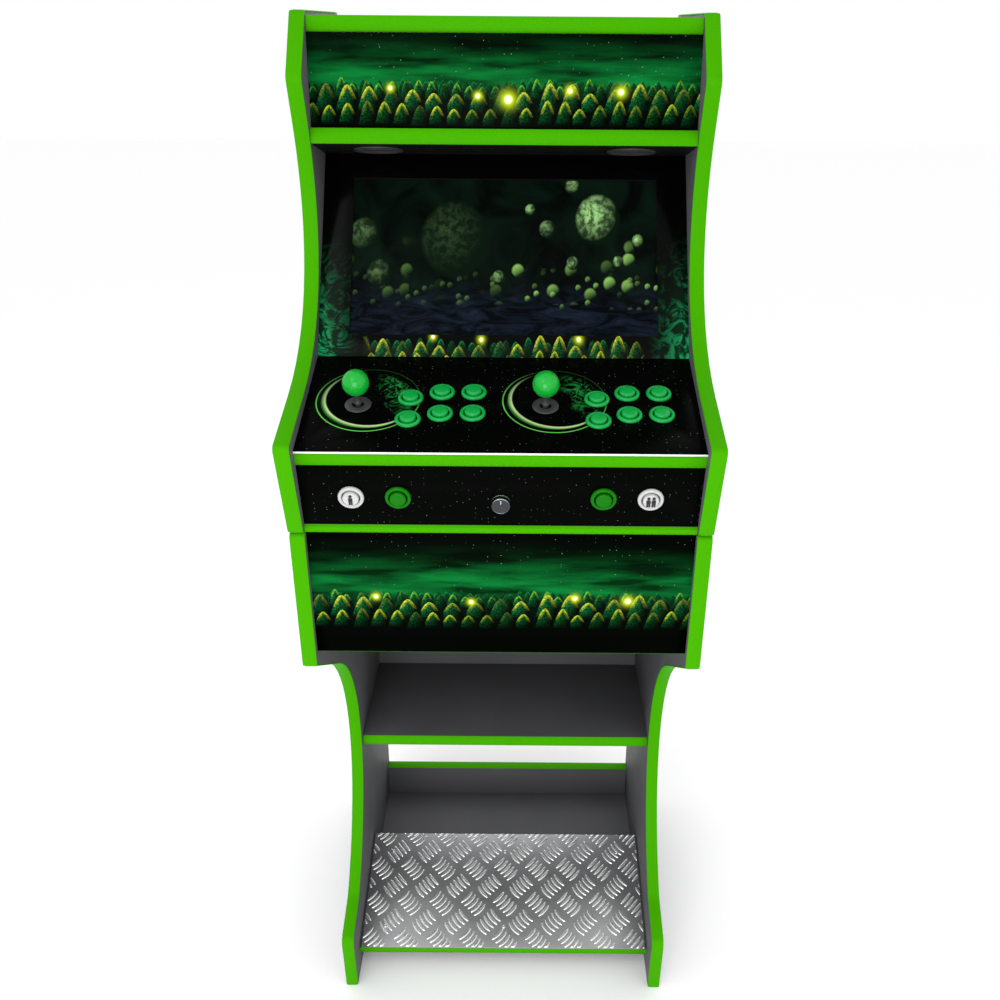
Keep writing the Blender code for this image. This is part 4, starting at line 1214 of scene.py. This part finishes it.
# %% Sawing the pattern to size
pattern = spread(-51, (6.25, 6.4, 0), (-27.6 - 5 * ACROSS, -66.5), 11, 3)
other = spread(48, (6.1, -6.5, 0), (1.9 - 5 * ACROSS, -102.5), 11, 4)
only(pattern)
other.select_set(True)
bpy.ops.object.join()
pattern.name = "tread_plate_bars"
bpy.ops.object.mode_set(mode="EDIT")
MARGIN = 0.6 * MM
for point, normal in (((TREAD_HALF - MARGIN, 0, 0), (1, 0, 0)),
                      ((MARGIN - TREAD_HALF, 0, 0), (-1, 0, 0)),
                      ((0, TREAD_FRONT + MARGIN, 0), (0, -1, 0)),
                      ((0, TREAD_BACK - MARGIN, 0), (0, 1, 0))):
    bpy.ops.mesh.select_all(action="SELECT")
    bpy.ops.mesh.bisect(plane_co=point, plane_no=normal, use_fill=True, clear_outer=True)
bpy.ops.object.mode_set(mode="OBJECT")
pattern.data.materials.append(TREAD_BAR_RUB_AND_HIGHLIGHT)
settle(stand_at(pattern, on_tread), "cabinet", "tread_aluminium")
sheet = copy_solid("tread_plate", TREAD)
round_edges(sheet, BOARD_EDGE)
settle(sheet, "cabinet", "tread_aluminium", "tread_plate")
print("tread bars:", len(pattern.data.polygons), "faces")

# %% [markdown]
# ## Screws
#
# The boards are held by pan-head screws: six bright ones through the tread plate and black ones
# round the two back panels. A screw's head is turned like the buttons, with a round recess, and
# every one is a copy of the first.

# %% One screw
STEEL, tree, shader = finish("zinc_plated_steel", Metallic=1.0)
vector, x, y, z = in_mm(tree)
mottle(tree, shader, vector, 2.0, 0.22, 0.36, 0.01)
fill(tree, shader, {"Base Color": "#D6D8DA"})
BLACK_STEEL, tree, shader = finish("black_oxide_steel", Metallic=0.8)
vector, x, y, z = in_mm(tree)
mottle(tree, shader, vector, 2.0, 0.35, 0.5, 0.01)
fill(tree, shader, {"Base Color": "#1C1C1E"})
head = turn("screw_head", [(1.8, -6.0), (1.8, -0.2), (3.4, -0.2), (3.7, 0.3), (3.5, 1.0),
                           (2.9, 1.6), (1.5, 1.9), (1.1, 1.6), (1.0, 0.6)], STEEL, 28)
print("screw head:", len(head.data.polygons), "faces")

# %% [markdown]
# On the sloping back panels a ray from behind finds the point of the board that a screw sits
# on, and the way that the board faces there.

# %% All the screws
for row in (-76, 77):
    for column in (-215, 0, 215):
        spot = on_tread @ Matrix.Translation((column * MM, row * MM, 0))
        made = copy_to(head, f"tread_screw_{column}_{row}".replace("-", "m"), spot)
        settle(made, "cabinet", "tread_aluminium")
SCREW_INSET, BEHIND = 0.012, 0.2
for node in ("head_back_panel", "stand_back_panel"):
    board = copy_solid(node, BOARD)
    round_edges(board, BOARD_EDGE, 2, 60)
    settle(board, "cabinet", "laminate", node)
    low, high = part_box(node)
    for level in (0.08, 0.5, 0.92):
        for across in (low.x + SCREW_INSET, high.x - SCREW_INSET):
            start = Vector((across, high.y + BEHIND, low.z + (high.z - low.z) * level))
            hit, point, normal, face = board.ray_cast(start, (0, -1, 0))
            turned = normal.to_track_quat("Z", "X").to_matrix().to_4x4()
            made = copy_to(head, f"{node}_screw_{level}_{'l' if across < 0 else 'r'}",
                           Matrix.Translation(point) @ turned, BLACK_STEEL)
            settle(made, "cabinet", "dark_plastic")
bpy.data.objects.remove(head)

# %% [markdown]
# ## What stays as it is
#
# The boxes inside and the socket at the back already have the right shape. They keep their
# solids, and only their finish changes.

# %% Finishes for the remaining solids
REMAINING = {"game_computer": DARK_ABS, "power_supply": STEEL, "sign_light": LAMP_WHITE,
             "power_inlet": DARK_ABS, "volume_pot": STEEL, "stand_floor": BOARD}
for player in ("p1", "p2"):
    REMAINING[f"joystick_{player}_base"] = DARK_ABS
    REMAINING[f"joystick_{player}_gimbal"] = LAMP_WHITE
for node, look in REMAINING.items():
    nodes[node].data.materials.clear()
    nodes[node].data.materials.append(look)
print("kept solids:", len(REMAINING))
